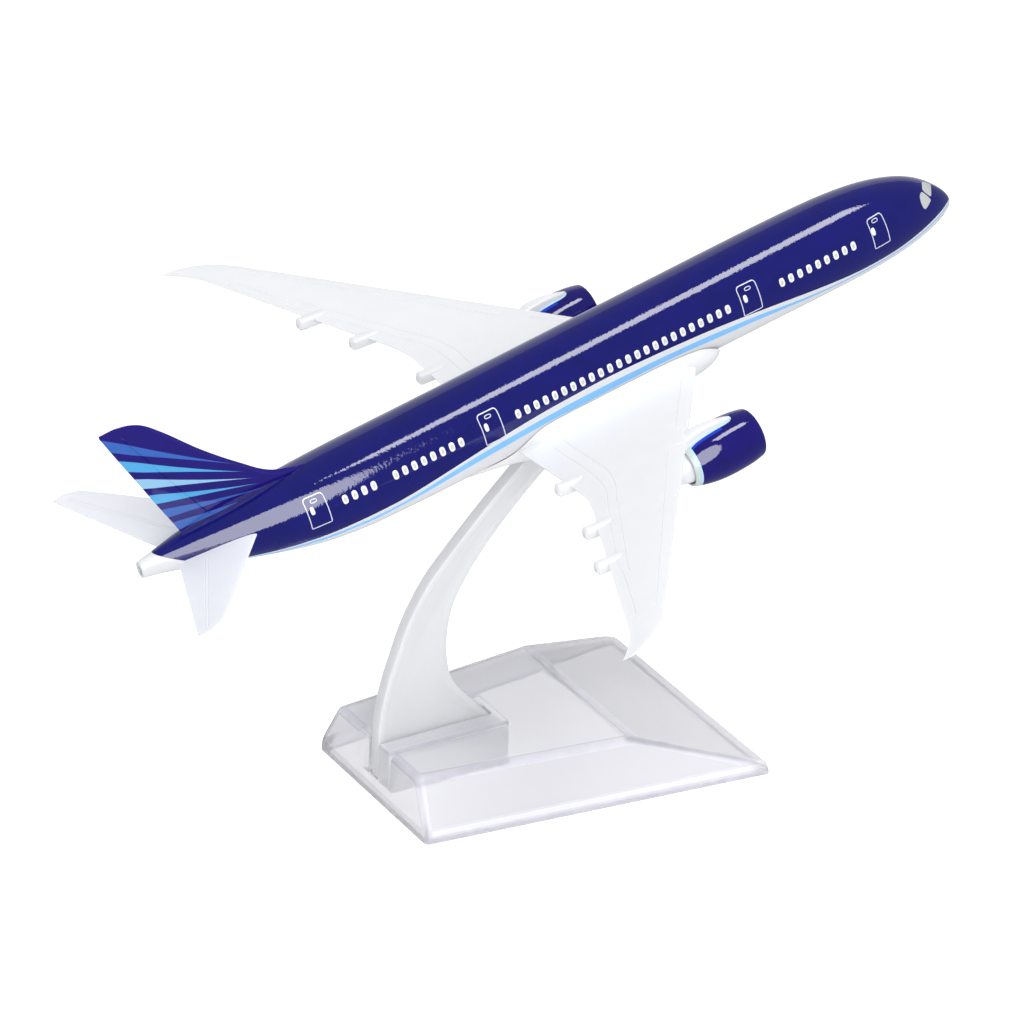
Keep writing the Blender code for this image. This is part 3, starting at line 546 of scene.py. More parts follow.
def on_skin(x, phi, lift=0.0):
    """Point on the fuselage at station x and angle phi in degrees, lifted along its normal."""
    middle, high, half = section(x)
    a = math.radians(phi)
    y, z = half * math.cos(a), middle + high * math.sin(a)
    if lift:
        m0, h0, w0 = section(x - 0.2)
        m1, h1, w1 = section(x + 0.2)
        along = Vector((0.4, (w1 - w0) * math.cos(a), (m1 - m0) + (h1 - h0) * math.sin(a)))
        around = Vector((0, -half * math.sin(a), high * math.cos(a)))
        n = around.cross(along)
        n.normalize()
        if n.dot(Vector((0, math.cos(a), math.sin(a)))) < 0:
            n.negate()
        return (x + n.x * lift, y + n.y * lift, z + n.z * lift)
    return (x, y, z)


def by_height(x, z, side, lift=0.0):
    """Point on the fuselage side at station x and height z; side 1 is port, -1 starboard."""
    middle, high, _ = section(x)
    phi = math.degrees(math.asin(max(-1.0, min(1.0, (z - middle) / high))))
    return on_skin(x, phi if side > 0 else 180.0 - phi, lift)


stations = [78.4 - 6.0 * (i / 20) ** 2 for i in range(1, 21)]
x = stations[-1]
while x > -70.0:
    x -= 0.9 if x > 60 else 1.25
    stations.append(x)
while x > -77.9:
    x -= 0.8
    stations.append(max(x, -78.2))
stations = [x for x in stations if x > -78.15] + [-78.2]

skin = Skin()


def half_angles(x):
    navy = averaged(NAVY_END, x)[0]
    top = averaged(BLUE_TOP, x)[0]
    bottom = averaged(BLUE_BOTTOM, x)[0]
    return [90.0] + spread(90.0, navy, 26) + [top] + spread(top, bottom, 2) + spread(bottom, 270.0, 13)


def full_ring(x, scale=1.0, at=None):
    star = half_angles(x)
    port = [180.0 - a for a in reversed(star[1:-1])]
    middle, high, half = section(x)
    return [(x if at is None else at, half * scale * math.cos(math.radians(a)),
             middle + high * scale * math.sin(math.radians(a))) for a in star + port]


half_count = len(half_angles(0.0)) - 1


def fuselage_paint(i, j):
    k = j if j < half_count else 2 * half_count - 1 - j
    return 0 if k < 26 else 1 if k < 27 else 2 if k < 29 else 1


rings = [full_ring(x) for x in stations]
rings += [full_ring(-78.2, 0.97, -78.38), full_ring(-78.2, 0.90, -78.47), full_ring(-78.2, 0.80, -78.5),
          full_ring(-78.2, 0.66, -78.48), full_ring(-78.2, 0.58, -78.35), full_ring(-78.2, 0.55, -77.6)]
middle_tip = section(78.4)[0]
skin.loft(rings, fuselage_paint, first=(78.4, 0.0, middle_tip), last=1)
bm = skin.bm()
side = Vector((1.0, 0.0, 1.78)).normalized()
edge_point = Vector((-75.64, 0.0, 5.33)) * MM
bmesh.ops.bisect_plane(bm, geom=bm.verts[:] + bm.edges[:] + bm.faces[:], dist=1e-7, plane_co=edge_point, plane_no=side)
for f in bm.faces:
    if (f.calc_center_median() - edge_point).dot(side) < 0 and f.calc_center_median().x < -0.06:
        f.material_index = 1
mesh = bpy.data.meshes.new("fuselage_skin")
bm.to_mesh(mesh)
bm.free()
# The fuselage whites take the darker copy of the white enamel: painted shade.
piece("fuselage_skin", mesh, [NAVY, SHADED_BELLY_WHITE, SKY], BODY, "aircraft", "navy_enamel", ["fuselage"])


# ---------------------------------------------------------------- printed windows, doors, cockpit
def blob(skin, outline, at, mats, inner=0.72, proud=0.028, sunk=0.06, rings=1):
    """Closed thin print: outline of (a, b), at(a, b, lift) gives the point; rim and centre materials."""
    ca = sum(p[0] for p in outline) / len(outline)
    cb = sum(p[1] for p in outline) / len(outline)

    def scaled(f, lift):
        return skin.row([at(ca + (a - ca) * f, cb + (b - cb) * f, lift) for a, b in outline])

    n = len(outline)
    low, edge, top = scaled(1.0, -sunk), scaled(1.0, proud * 0.55), scaled(0.95, proud)
    loops = [(low, edge, mats[0]), (edge, top, mats[0])]
    last = top
    if inner < 0.94:
        ring = scaled(inner, proud)
        loops.append((last, ring, mats[0]))
        last = ring
    for r in range(rings - 1):
        ring = scaled((inner if inner < 0.94 else 0.95) * (1 - (r + 1) / rings), proud)
        loops.append((last, ring, mats[-1]))
        last = ring
    for a, b, m in loops:
        for i in range(n):
            k = (i + 1) % n
            skin.face((a[i], a[k], b[k], b[i]), m)
    tip = skin.point(at(ca, cb, proud))
    for i in range(n):
        skin.face((last[i], last[(i + 1) % n], tip), mats[-1])
    under = [low]
    for r in range(rings - 1):
        under.append(scaled(1 - (r + 1) / rings, -sunk))
        for i in range(n):
            k = (i + 1) % n
            skin.face((under[-2][i], under[-2][k], under[-1][k], under[-1][i]), mats[0])
    heart = skin.point(at(ca, cb, -sunk))
    for i in range(n):
        skin.face((under[-1][i], under[-1][(i + 1) % n], heart), mats[0])


def band(skin, outer, inner, at, mat=0, proud=0.025, sunk=0.06):
    """Closed line print between two loops."""
    n = len(outer)
    rows = [skin.row([at(a, b, lift) for a, b in loop]) for loop, lift in
            ((outer, -sunk), (outer, proud), (inner, proud), (inner, -sunk))]
    for r in range(4):
        a, b = rows[r], rows[(r + 1) % 4]
        for i in range(n):
            k = (i + 1) % n
            skin.face((a[i], a[k], b[k], b[i]), mat)


def oval(cx, cz, width, height, power=2.4, count=20):
    pts = []
    for i in range(count):
        a = 2 * math.pi * i / count
        c, s = math.cos(a), math.sin(a)
        pts.append((cx + width / 2 * math.copysign(abs(c) ** (2 / power), c), cz + height / 2 * math.copysign(abs(s) ** (2 / power), s)))
    return pts


def rounded(x0, x1, z0, z1, top, bottom, per=6, edge=10):
    """Rounded upright rectangle, with its own corner radii at the top and the bottom."""
    pts = []
    for cx, cz, r, start in ((x1 - top, z1 - top, top, 0), (x0 + top, z1 - top, top, 90),
                             (x0 + bottom, z0 + bottom, bottom, 180), (x1 - bottom, z0 + bottom, bottom, 270)):
        for i in range(per + 1):
            a = math.radians(start + 90 * i / per)
            pts.append((cx + r * math.cos(a), cz + r * math.sin(a)))
    out = []
    for i, p in enumerate(pts):
        q = pts[(i + 1) % len(pts)]
        out.append(p)
        if math.hypot(q[0] - p[0], q[1] - p[1]) > 0.8:
            out += [(p[0] + (q[0] - p[0]) * j / edge, p[1] + (q[1] - p[1]) * j / edge) for j in range(1, edge)]
    return out


windows = []
windows += [29.93 - 1.783 * i for i in range(24)]
windows += [55.17 - 1.806 * i for i in range(9)]
windows += [-22.03 - 1.783 * i for i in range(8)]
windows += [-38.67 - 1.773 * i for i in range(4)]
panes, lines, plugs = Skin(), Skin(), Skin()
DOORS = ((59.05, 62.35, 0.23, 5.33, 59.6, 3.30, 60.6, 4.68), (32.49, 36.25, 0.23, 5.33, 33.52, 3.11, 34.5, 4.46),
         (-18.0, -14.22, 0.2, 5.3, -17.05, 3.13, -16.13, 4.53), (-50.75, -47.05, 0.23, 5.33, -49.77, 3.27, -48.98, 4.57))
for s in (1, -1):
    def at(a, b, lift, s=s):
        return by_height(a, b, s, lift)
    for x in windows:
        blob(panes, oval(x, 2.83, 0.98, 1.46, 2.9), at, (0, 1), inner=0.52)
    for x0, x1, z0, z1, hx, hz, px, pz in DOORS:
        w = 0.16
        band(lines, rounded(x0, x1, z0, z1, 0.62, 0.30), rounded(x0 + w, x1 - w, z0 + w, z1 - w, 0.45, 0.15), at)
        blob(plugs, oval(hx, hz, 0.72, 1.28, 3.0), at, (0,), inner=1.0)
        w = 0.12
        band(lines, oval(px, pz, 1.24, 0.58, 2.8, 28), oval(px, pz, 1.24 - 2 * w, 0.58 - 2 * w, 2.4, 28), at)
piece("cabin_windows", panes, [PRINT_WHITE, PANE_GREY], BODY, "aircraft", "white_enamel", sharp=60)
piece("door_outlines", lines, [DOOR_LINE], BODY, "aircraft", "white_enamel", sharp=60)
piece("door_windows", plugs, [PRINT_WHITE], BODY, "aircraft", "white_enamel", sharp=60)

cockpit = Skin()
PANES = (((73.8, 98), (75.3, 102), (74.3, 124), (73.3, 145), (72.2, 128), (73.0, 112)),
         ((72.0, 129.5), (73.05, 149.5), (72.0, 158), (71.1, 163), (70.7, 160), (70.6, 150), (70.9, 139), (71.4, 133)))
for s in (1, -1):
    for shape in PANES:
        pts = []
        for i, p in enumerate(shape):
            q = shape[(i + 1) % len(shape)]
            pts += [(p[0] + (q[0] - p[0]) * t / 5, p[1] + (q[1] - p[1]) * t / 5) for t in range(5)]
        # ease the corners
        for _ in range(2):
            pts = [((pts[i - 1][0] + 2 * pts[i][0] + pts[(i + 1) % len(pts)][0]) / 4,
                    (pts[i - 1][1] + 2 * pts[i][1] + pts[(i + 1) % len(pts)][1]) / 4) for i in range(len(pts))]
        blob(cockpit, pts, lambda a, b, lift, s=s: on_skin(a, b if s < 0 else 180.0 - b, lift), (0,), inner=1.0, rings=6)
piece("cockpit_windows", cockpit, [COCKPIT], BODY, "aircraft", "white_enamel", sharp=60)


# ---------------------------------------------------------------- foils: fin, wing, tailplanes
def half_thickness(s, thick):
    half = 2.6 * thick * (0.2969 * math.sqrt(s) - 0.126 * s - 0.3516 * s**2 + 0.2843 * s**3 - 0.1015 * s**4) / 0.52
    return max(half, 0.14 * s) / 2 if s > 0 else 0.0


def foil_knots(breaks, width, nose=14, spans=None):
    """Chord fractions from the leading edge, with three columns at each groove, and which groove each is at."""
    out = [(0.0, None)]
    ends = [b for b in breaks] + [1.0]
    last = 0.0
    for g, b in enumerate(ends):
        low = b - width if b < 1.0 else 1.0
        n = nose if g == 0 else (spans[g - 1] if spans else 6)
        for i in range(1, n + 1):
            f = i / n
            if g == 0:
                f = 1 - math.cos(f * math.pi / 2)
            out.append((last + (low - last) * f, None))
        if b < 1.0:
            out.append((b, g))
            out.append((b + width, None))
            last = b + width
    return out


def foil(skin, spans, shape, breaks_at, place, depth=0.085, width_mm=0.11, both=True, mat=0, nose=14, columns=None, cuts=None, root=None):
    """Closed foil through span stations. shape(t) gives lead, trail, thick; breaks_at(t) gives a list of
    (x of groove, depth share); place(x, off, t) gives the point."""
    rows = []
    for t in spans:
        lead, trail, thick = shape(t)
        chord = lead - trail
        grooves = breaks_at(t)
        fractions = [(lead - gx) / chord for gx, _ in grooves]
        w = width_mm / chord
        for i in range(len(fractions)):
            low = (fractions[i - 1] if i else 0.0) + 2.5 * w
            fractions[i] = max(fractions[i], low)
        room = 1.0 - 2.5 * w
        for i in reversed(range(len(fractions))):
            fractions[i] = min(fractions[i], room)
            room = fractions[i] - 2.5 * w
        knots = foil_knots(fractions, w, nose, columns)
        upper, lower = [], []
        for s, g in knots:
            off = half_thickness(s, thick)
            dip = depth * grooves[g][1] if g is not None else 0.0
            extra = cuts(t, lead - chord * s, s) if cuts else 0.0
            dip = min(max(dip, extra), off * 0.6)
            off += root(t, s) if root else 0.0
            upper.append(place(lead - chord * s, off - dip, t))
            off -= root(t, s) * 0.6 if root else 0.0
            lower.append(place(lead - chord * s, -(off - (dip if both else 0.0)), t))
        rows.append(upper + list(reversed(lower[1:])))
    skin.loft(rows, mat, first=mat, last=mat)


def fin_shape(z):
    return averaged(FIN, z, 0.15)


FIN_HINGE = ((5.6, -63.0), (6.8, -64.0), (9.0, -65.5), (11.6, -66.9), (13.4, -68.0), (16.0, -69.4), (18.4, -70.7), (22.2, -72.6), (24.4, -73.9), (28.4, -76.1), (30.1, -77.4))
fin = Skin()
fin_spans = [5.6 + 0.35 * i for i in range(14)] + [10.5 + 0.75 * i for i in range(23)]
fin_spans = [z for z in fin_spans if z < 27.6] + [27.7, 28.2, 28.6, 28.95, 29.3, 29.55, 29.75, 29.9, 30.02, 30.1]
foil(fin, fin_spans, fin_shape, lambda z: [(smooth(FIN_HINGE, z)[0], 1.0 if 7.2 < z < 28.2 else 0.0)],
     lambda x, off, z: (x, off, z), depth=0.09, width_mm=0.11, nose=18, columns=[10])
piece("fin_skin", fin, [FIN_PAINT], BODY, "aircraft", "navy_enamel", sharp=30)

# wing
LINE_A = ((0, -5.6), (10, -5.6), (24, -5.6), (26, -6.0), (29, -6.9), (33, -9.0), (38, -11.5), (45, -15.0), (50, -17.5), (54, -19.3), (60, -21.9), (67, -25.0), (75.4, -32.3))
LINE_B = ((0, -7.8), (10, -7.8), (22, -7.8), (26, -8.1), (29.5, -9.0), (34, -11.3), (40, -14.4), (47, -17.8), (51, -19.8), (54, -20.5), (59, -22.5), (66, -25.5), (75.4, -32.8))


def wing_shape(y):
    return averaged(WING, y, 0.6)


def wing_breaks(y):
    lead = wing_shape(y)[0]
    slat_in = 1.0 if 10.5 < y < 23.3 else 0.0
    slat_out = 1.0 if 27.4 < y < 67.4 else 0.0
    slat = 4.3 + (y - 27.4) * (-27.0 / 40.0) if y > 27.4 else lead - 3.55 + (0.9 if y < 24 else 0.0)
    if 24 <= y <= 27.4:
        slat = lead - 3.1
    a = 1.0 if 10.5 < y < 54.0 else 0.0
    b = 1.0 if 10.5 < y < 66.0 else 0.0
    return [(slat, max(slat_in, slat_out)), (smooth(LINE_A, y)[0], a), (smooth(LINE_B, y)[0], b)]


wing_y = [0.0, 4.0, 7.0, 8.2, 8.6, 8.8, 9.0, 9.2, 9.45, 9.75, 10.1, 10.4, 10.6]
wing_y += [10.6 + 0.8 * i for i in range(1, 80) if 10.6 + 0.8 * i < 74.2]
CUTS = ((54.0, LINE_B, -1, 66.0), (66.0, LINE_B, -1, 66.0), (24.4, LINE_B, -1, 0))
SLAT_CUTS = (10.5, 23.3, 27.4, 40.5, 54.0, 67.4)
for c in [54.0, 66.0, 27.4, 40.5, 67.4, 23.3]:
    wing_y = [y for y in wing_y if abs(y - c) > 0.25] + [c - 0.22, c - 0.11, c, c + 0.11, c + 0.22]
wing_y += [72.9, 73.4, 73.9, 74.3, 74.65, 74.95, 75.2, 75.33, 75.4]
wing_y = sorted(set(round(y, 3) for y in wing_y))


def wing_cuts(y, x, s):
    deep = 0.0
    for c in (54.0, 66.0):
        if abs(y - c) < 0.05 and x < smooth(LINE_B, c)[0] + 0.05:
            deep = 0.085
    lead = wing_shape(y)[0]
    for c in (23.3, 27.4, 40.5, 54.0, 67.4):
        slat = wing_breaks(c + (0.02 if c != 67.4 and c != 23.3 else -0.02))[0][0]
        if abs(y - c) < 0.05 and x > slat - 0.05 and s > 0.002:
            deep = 0.05
    return deep


def wing_root(t, s):
    """Fillet where the wing meets the fairing."""
    reach = (12.6 - abs(t)) / 3.8
    if reach <= 0:
        return 0.0
    reach = min(1.0, reach)
    return 1.2 * (1 - math.sqrt(1 - reach**2)) * max(0.0, math.sin(math.pi * min(1.0, s * 1.02) ** 0.8)) ** 0.6


wing = Skin()
spans = [-y for y in reversed(wing_y) if y > 0] + wing_y
foil(wing, spans, lambda t: wing_shape(abs(t)), lambda t: wing_breaks(abs(t)),
     lambda x, off, t: (x, t, WING_Z + WING_DIHEDRAL * abs(t) + off), depth=0.085, width_mm=0.12,
     nose=14, columns=[12, 3, 7], cuts=lambda t, x, s: wing_cuts(abs(t), x, s), root=wing_root)
piece("wing_skin", wing, [WHITE], BODY, "aircraft", "white_enamel", ["wing_casting"], sharp=30)

# belly fairing, cut back from the fuselage so that a fine seam shows
fairing = Skin()
rows = []
for i in range(97):
    x = 29.0 - 54.0 * i / 96
    crown, keel, half = averaged(FAIRING, x, 2.0)
    if i < 10:
        f = math.sqrt(1 - (1 - (i + 0.6) / 10.6) ** 2)
        middle = (crown + keel) / 2
        crown, keel, half = middle + (crown - middle) * (0.45 + 0.55 * f), middle + (keel - middle) * (0.45 + 0.55 * f), half * (0.55 + 0.45 * f)
    middle, high = (crown + keel) / 2, (crown - keel) / 2
    rows.append([(x, half * math.cos(2 * math.pi * j / 72), middle + high * math.sin(2 * math.pi * j / 72)) for j in range(72)])
fairing.loft(rows, 0, first=0, last=0)
grown = Skin()
rows = []
for i in range(60):
    x = 40.0 - 76.0 * i / 59
    middle, high, half = section(x)
    gap = 0.11 + 0.34 * max(0.0, min(1.0, (x - 22.5) / 4.5)) ** 2
    rows.append([(x, (half + gap) * math.cos(2 * math.pi * j / 96), middle + (high + gap) * math.sin(2 * math.pi * j / 96)) for j in range(96)])
grown.loft(rows, 0, first=0, last=0)


def box_skin(low, high):
    s = Skin()
    (x0, y0, z0), (x1, y1, z1) = low, high
    s.loft([[(x0, y0, z0), (x1, y0, z0), (x1, y1, z0), (x0, y1, z0)], [(x0, y0, z1), (x1, y0, z1), (x1, y1, z1), (x0, y1, z1)]], 0, first=0, last=0)
    return s


def cylinder_skin(x, y, low, high, radius, count=40, ease=0.0):
    s = Skin()
    profile = [(low, radius), (high, radius)]
    if ease:
        profile = [(low, radius - ease), (low + ease * 0.3, radius - ease * 0.3), (low + ease, radius), (high, radius)]
    s.loft([[(x + r * math.cos(2 * math.pi * j / count), y + r * math.sin(2 * math.pi * j / count), z) for j in range(count)]
            for z, r in profile], 0, first=0, last=0)
    return s


lean = TONGUE_LEAN - PITCH


def tongue_skin(before, after, half_width, half_thick, ease=0.0):
    """Box along the arm's upper end, in the aircraft's frame."""
    s = Skin()
    ux, uz = math.cos(lean), math.sin(lean)
    nx, nz = -math.sin(lean), math.cos(lean)
    rows = []
    for d, f in ((-before, 0.0), (after - ease, 0.0), (after, ease)):
        w, t = half_width - f, half_thick - f
        ring = []
        e = max(ease * 0.8, 0.02)
        for a, b in ((w, t - e), (w - e * 0.3, t - e * 0.3), (w - e, t), (-w + e, t), (-w + e * 0.3, t - e * 0.3), (-w, t - e),
                     (-w, -t + e), (-w + e * 0.3, -t + e * 0.3), (-w + e, -t), (w - e, -t), (w - e * 0.3, -t + e * 0.3), (w, -t + e)):
            ring.append((TONGUE_FOOT[0] + ux * d + nx * b, a, TONGUE_FOOT[1] + uz * d + nz * b))
        rows.append(ring)
    s.loft(rows, 0, first=0, last=0)
    return s


steps = [("BOOLEAN", cut(), grown.mesh("grown"))]
steps += [("BOOLEAN", cut(), tongue_skin(6.0, TONGUE_DEPTH + 0.4, TONGUE_HALF_WIDTH + 0.3, TONGUE_HALF_THICK + 0.3).mesh("slot"))]
for x in SCREWS:
    keel = smooth(FAIRING, x)[1]
    steps.append(("BOOLEAN", cut(), cylinder_skin(x, 0, -14.0, keel + 0.75, 1.35 + 0.3).mesh("sink")))
mesh = applied(fairing.mesh("belly_fairing"), steps)
piece("belly_fairing", mesh, [WHITE], BODY, "aircraft", "white_enamel", sharp=40)

# pylons
pylon = Skin()
TOP = ((-3.2, -3.50), (1.0, -3.05), (5.0, -2.75), (8.4, -2.55), (9.6, -2.12), (11.8, -2.02), (14.6, -2.30), (16.2, -2.65), (17.2, -2.98))
for s in (1, -1):
    rows = []
    for i in range(49):
        x = 17.1 - 20.2 * i / 48
        top = smooth(TOP, x)[0]
        if x > 12.2:
            bottom = -3.75
        elif x > 7.0:
            bottom = -6.5
        else:
            bottom = smooth(((-3.2, -3.6), (-1.0, -4.35), (2.6, -5.1), (4.6, -5.7), (7.1, -6.2)), x)[0]
        bottom = min(bottom, top - 0.12)
        half = 1.02 * min(1.0, math.sqrt(max(0.02, (17.3 - x) / 6.0)), 0.25 + math.sqrt(max(0.0, (x + 3.3) / 7.0)))
        r = min(0.45, half * 0.8, (top - bottom) * 0.45)
        ring = []
        for k in range(7):
            a = math.radians(90 * k / 6)
            ring.append((x, s * ENGINE_Y + half - r + r * math.cos(a), top - r + r * math.sin(a)))
        for k in range(7):
            a = math.radians(90 + 90 * k / 6)
            ring.append((x, s * ENGINE_Y - half + r + r * math.cos(a), top - r + r * math.sin(a)))
        for k in range(3):
            ring.append((x, s * ENGINE_Y - half * (1 - 0.25 * k / 2), bottom))
        for k in range(3):
            ring.append((x, s * ENGINE_Y + half * (0.75 + 0.25 * k / 2), bottom))
        rows.append(ring)
    pylon.loft(rows, 0, first=0, last=0)
piece("engine_pylons", pylon, [WHITE], BODY, "aircraft", "white_enamel", sharp=40)

# flap-track fairings: blunt moulded pods
pods = Skin()
tilt = math.radians(6.0)
for s in (1, -1):
    for y, tail in TRACKS:
        rows = []
        cx, cz = tail + 4.9, WING_Z + WING_DIHEDRAL * y - 0.8
        for i in range(25):
            # blunt, rounded at the tail; a long taper into the wing at the front
            a = -4.95 + 9.9 * (i / 24) ** 1.8
            back, front = min(1.0, (a + 4.95) / 0.62), max(0.0, (4.96 - a) / 9.9)
            f = (1 - (1 - back) ** 2.6) ** 0.5 * min(1.0, (front * 1.9) ** 0.6)
            ry, rz = 0.98 * max(f, 0.55 if a < -4 else 0.06), 1.05 * max(f, 0.55 if a < -4 else 0.06)
            ring = []
            for j in range(24):
                t = 2 * math.pi * j / 24
                c, q = math.cos(t), math.sin(t)
                py = ry * math.copysign(abs(c) ** 0.55, c)
                pz = rz * math.copysign(abs(q) ** 0.55, q)
                ring.append((cx + a * math.cos(tilt) + pz * math.sin(tilt), s * y + py, cz - a * math.sin(tilt) + pz * math.cos(tilt)))
            rows.append(ring)
        pods.loft(rows, 0, first=0, last=0)
piece("flap_track_fairings", pods, [WHITE], BODY, "aircraft", "white_enamel", sharp=50)

# tailplanes
for name, s in (("left", 1), ("right", -1)):
    tail = Skin()
    tail_y = [1.2, 2.0, 3.0, 4.0, 5.0, 5.4, 5.5, 5.6] + [5.6 + 0.6 * i for i in range(1, 32) if 5.6 + 0.6 * i < 23.0]
    tail_y += [23.2, 23.6, 24.0, 24.1, 24.2, 24.35, 24.6, 24.85, 25.05, 25.2, 25.3]

    def tail_breaks(y):
        g = -68.7 - (y - 5.5) * 0.53
        on = 1.0 if 5.5 <= y <= 24.15 else 0.0
        return [(g, on), (g - 0.62, on)]

    foil(tail, tail_y, lambda y: averaged(TAILPLANE, y, 0.5), tail_breaks,
         lambda x, off, y, s=s: (x, s * y, TAILPLANE_Z + TAILPLANE_DIHEDRAL * y + off), depth=0.08, width_mm=0.11,
         nose=14, columns=[2, 5])
    piece(name + "_tailplane_skin", tail, [TAIL_WHITE], BODY, "aircraft", "white_tail_enamel", [name + "_tailplane"], sharp=30)


# ---------------------------------------------------------------- engines
def smooth_profile(points, per):
    return spline([tuple(p) for p in points], per)


TONGUE = ((8.35, 18.0), (10.0, 13.0), (13.0, 11.0), (15.5, 9.5), (16.6, 7.0), (17.0, 3.0), (17.2, 0.6))
EDGE_X = 8.35
for name, s in (("left", 1), ("right", -1)):
    outer = smooth_profile(COWL_OUTER, 5)
    extra = [EDGE_X - ENGINE_X, EDGE_X + 0.22 - ENGINE_X] + [x - ENGINE_X for x in (17.2, 17.32, 17.0, 16.8, 16.6, 16.3, 16.0, 15.5)]
    line = sorted(outer, reverse=True)
    xs = [p[0] for p in line]

    def radius_at(a):
        for p, q in zip(line, line[1:]):
            if q[0] <= a <= p[0]:
                return q[1] + (p[1] - q[1]) * (a - q[0]) / max(1e-9, p[0] - q[0])
        return line[-1][1]

    keep = [p for p in line if all(abs(p[0] - e) > 0.10 for e in extra)]
    line = sorted(keep + [(e, radius_at(e)) for e in extra], reverse=True)
    inner = smooth_profile(COWL_INNER, 3)
    lip = [(-0.18, 3.66), (-0.03, 3.74)]
    profile = [(a, r, "out") for a, r in line] + [(-13.46, 3.56, "rim"), (-13.46, 3.42, "rim")] + [(a, r, "in") for a, r in inner] + [(a, r, "lip") for a, r in lip]
    cowl = Skin()
    rings = []
    N_TONGUE, N_EDGE, N_FRINGE, N_REST = 8, 2, 2, 28
    for a, r, kind in profile:
        x = a + ENGINE_X
        if x >= 17.32:
            w, e = 0.35, 0.35
        elif x >= 17.2:
            w, e = 0.6, 4.2
        else:
            w, e = smooth(TONGUE, max(x, 8.35))[0], 3.6
        angles = [0.0] + spread(0.0, w, N_TONGUE) + spread(w, w + e, N_EDGE) + spread(w + e, w + e + 7.0, N_FRINGE) + spread(w + e + 7.0, 180.0, N_REST)
        # outboard half then inboard half, measured from straight up
        both = angles + [360.0 - q for q in reversed(angles[1:-1])]
        rings.append([(x, s * ENGINE_Y + r * math.sin(math.radians(q)), ENGINE_Z + r * math.cos(math.radians(q))) for q in both])
    half_n = N_TONGUE + N_EDGE + N_FRINGE + N_REST

    def cowl_paint(i, j):
        a0, a1 = profile[i], profile[(i + 1) % len(profile)]
        k = j if j < half_n else 2 * half_n - 1 - j
        x = (a0[0] + a1[0]) / 2 + ENGINE_X
        if a0[2] == "out" and a1[2] == "out":
            if x < EDGE_X:
                return 1
            if x < EDGE_X + 0.22:
                return 2 if k >= N_TONGUE else 1
            if x < 17.2:
                return 1 if k < N_TONGUE else 2 if k < N_TONGUE + N_EDGE else 4 if k < N_TONGUE + N_EDGE + N_FRINGE and x < 14.5 else 0
            if x < 17.32:
                return 2 if k < N_TONGUE + N_EDGE else 0
            return 0
        if "rim" in (a0[2], a1[2]):
            return 1
        if a0[2] == "in" and a1[2] == "in":
            return 3
        return 0

    ids = [cowl.row(r) for r in rings]
    n = len(ids[0])
    for i in range(len(ids)):
        a, b = ids[i], ids[(i + 1) % len(ids)]
        for j in range(n):
            k = (j + 1) % n
            cowl.face((a[j], a[k], b[k], b[j]), cowl_paint(i, j))
    piece(name + "_cowl_skin", cowl, [COWL, BAND, CYAN, INNER, FRINGE], BODY, "aircraft", "navy_cowl_enamel", [name + "_nacelle_cowl"], sharp=40)

    # fan: disc with a raised ring of swept blades and a spinner
    fan = Skin()
    profile = [(-2.22, 0.10), (-2.32, 0.28), (-2.55, 0.50), (-2.85, 0.68), (-3.2, 0.84), (-3.55, 0.96), (-3.95, 1.06), (-4.1, 1.08),
               (-4.45, 1.10), (-4.62, 1.2), (-4.65, 3.10), (-4.60, 3.16), (-4.05, 3.20), (-4.02, 3.26), (-4.02, 3.44), (-4.08, 3.50), (-5.34, 3.50), (-5.4, 3.44)]
    rings = [[(ENGINE_X + a, s * ENGINE_Y + r * math.sin(2 * math.pi * j / 64), ENGINE_Z + r * math.cos(2 * math.pi * j / 64)) for j in range(64)] for a, r in profile]
    fan.loft(rings, lambda i, j: 1 if i < 6 else 0, first=(ENGINE_X - 2.2, s * ENGINE_Y, ENGINE_Z), last=0)
    blades = 20
    for b in range(blades):
        rows = []
        for i in range(9):
            f = i / 8
            r = 1.02 + (3.22 - 1.02) * f
            stagger = math.radians(28 + 30 * f)
            chord = 0.42 + 0.26 * math.sin(math.pi * (0.15 + 0.7 * f))
            sweep = 0.10 * math.sin(math.pi * f)
            ring = []
            for c, t in ((-1, 0.0), (-0.5, 0.055), (0.3, 0.065), (1, 0.0), (0.3, -0.055), (-0.5, -0.045)):
                ax = -4.42 + chord * 0.62 * -c * math.cos(stagger) * 0.75 + sweep
                tang = chord * c * math.sin(stagger) * 0.8
                th = 2 * math.pi * b / blades + (tang + t) / r * s
                ring.append((ENGINE_X + ax, s * ENGINE_Y + r * math.sin(th), ENGINE_Z + r * math.cos(th)))
            rows.append(ring)
        fan.loft(rows, 0, first=0, last=0)
    piece(name + "_fan", fan, [FAN_METAL, SPINNER], BODY, "aircraft", "fan_grey_plastic", [name + "_fan_insert"], sharp=40)

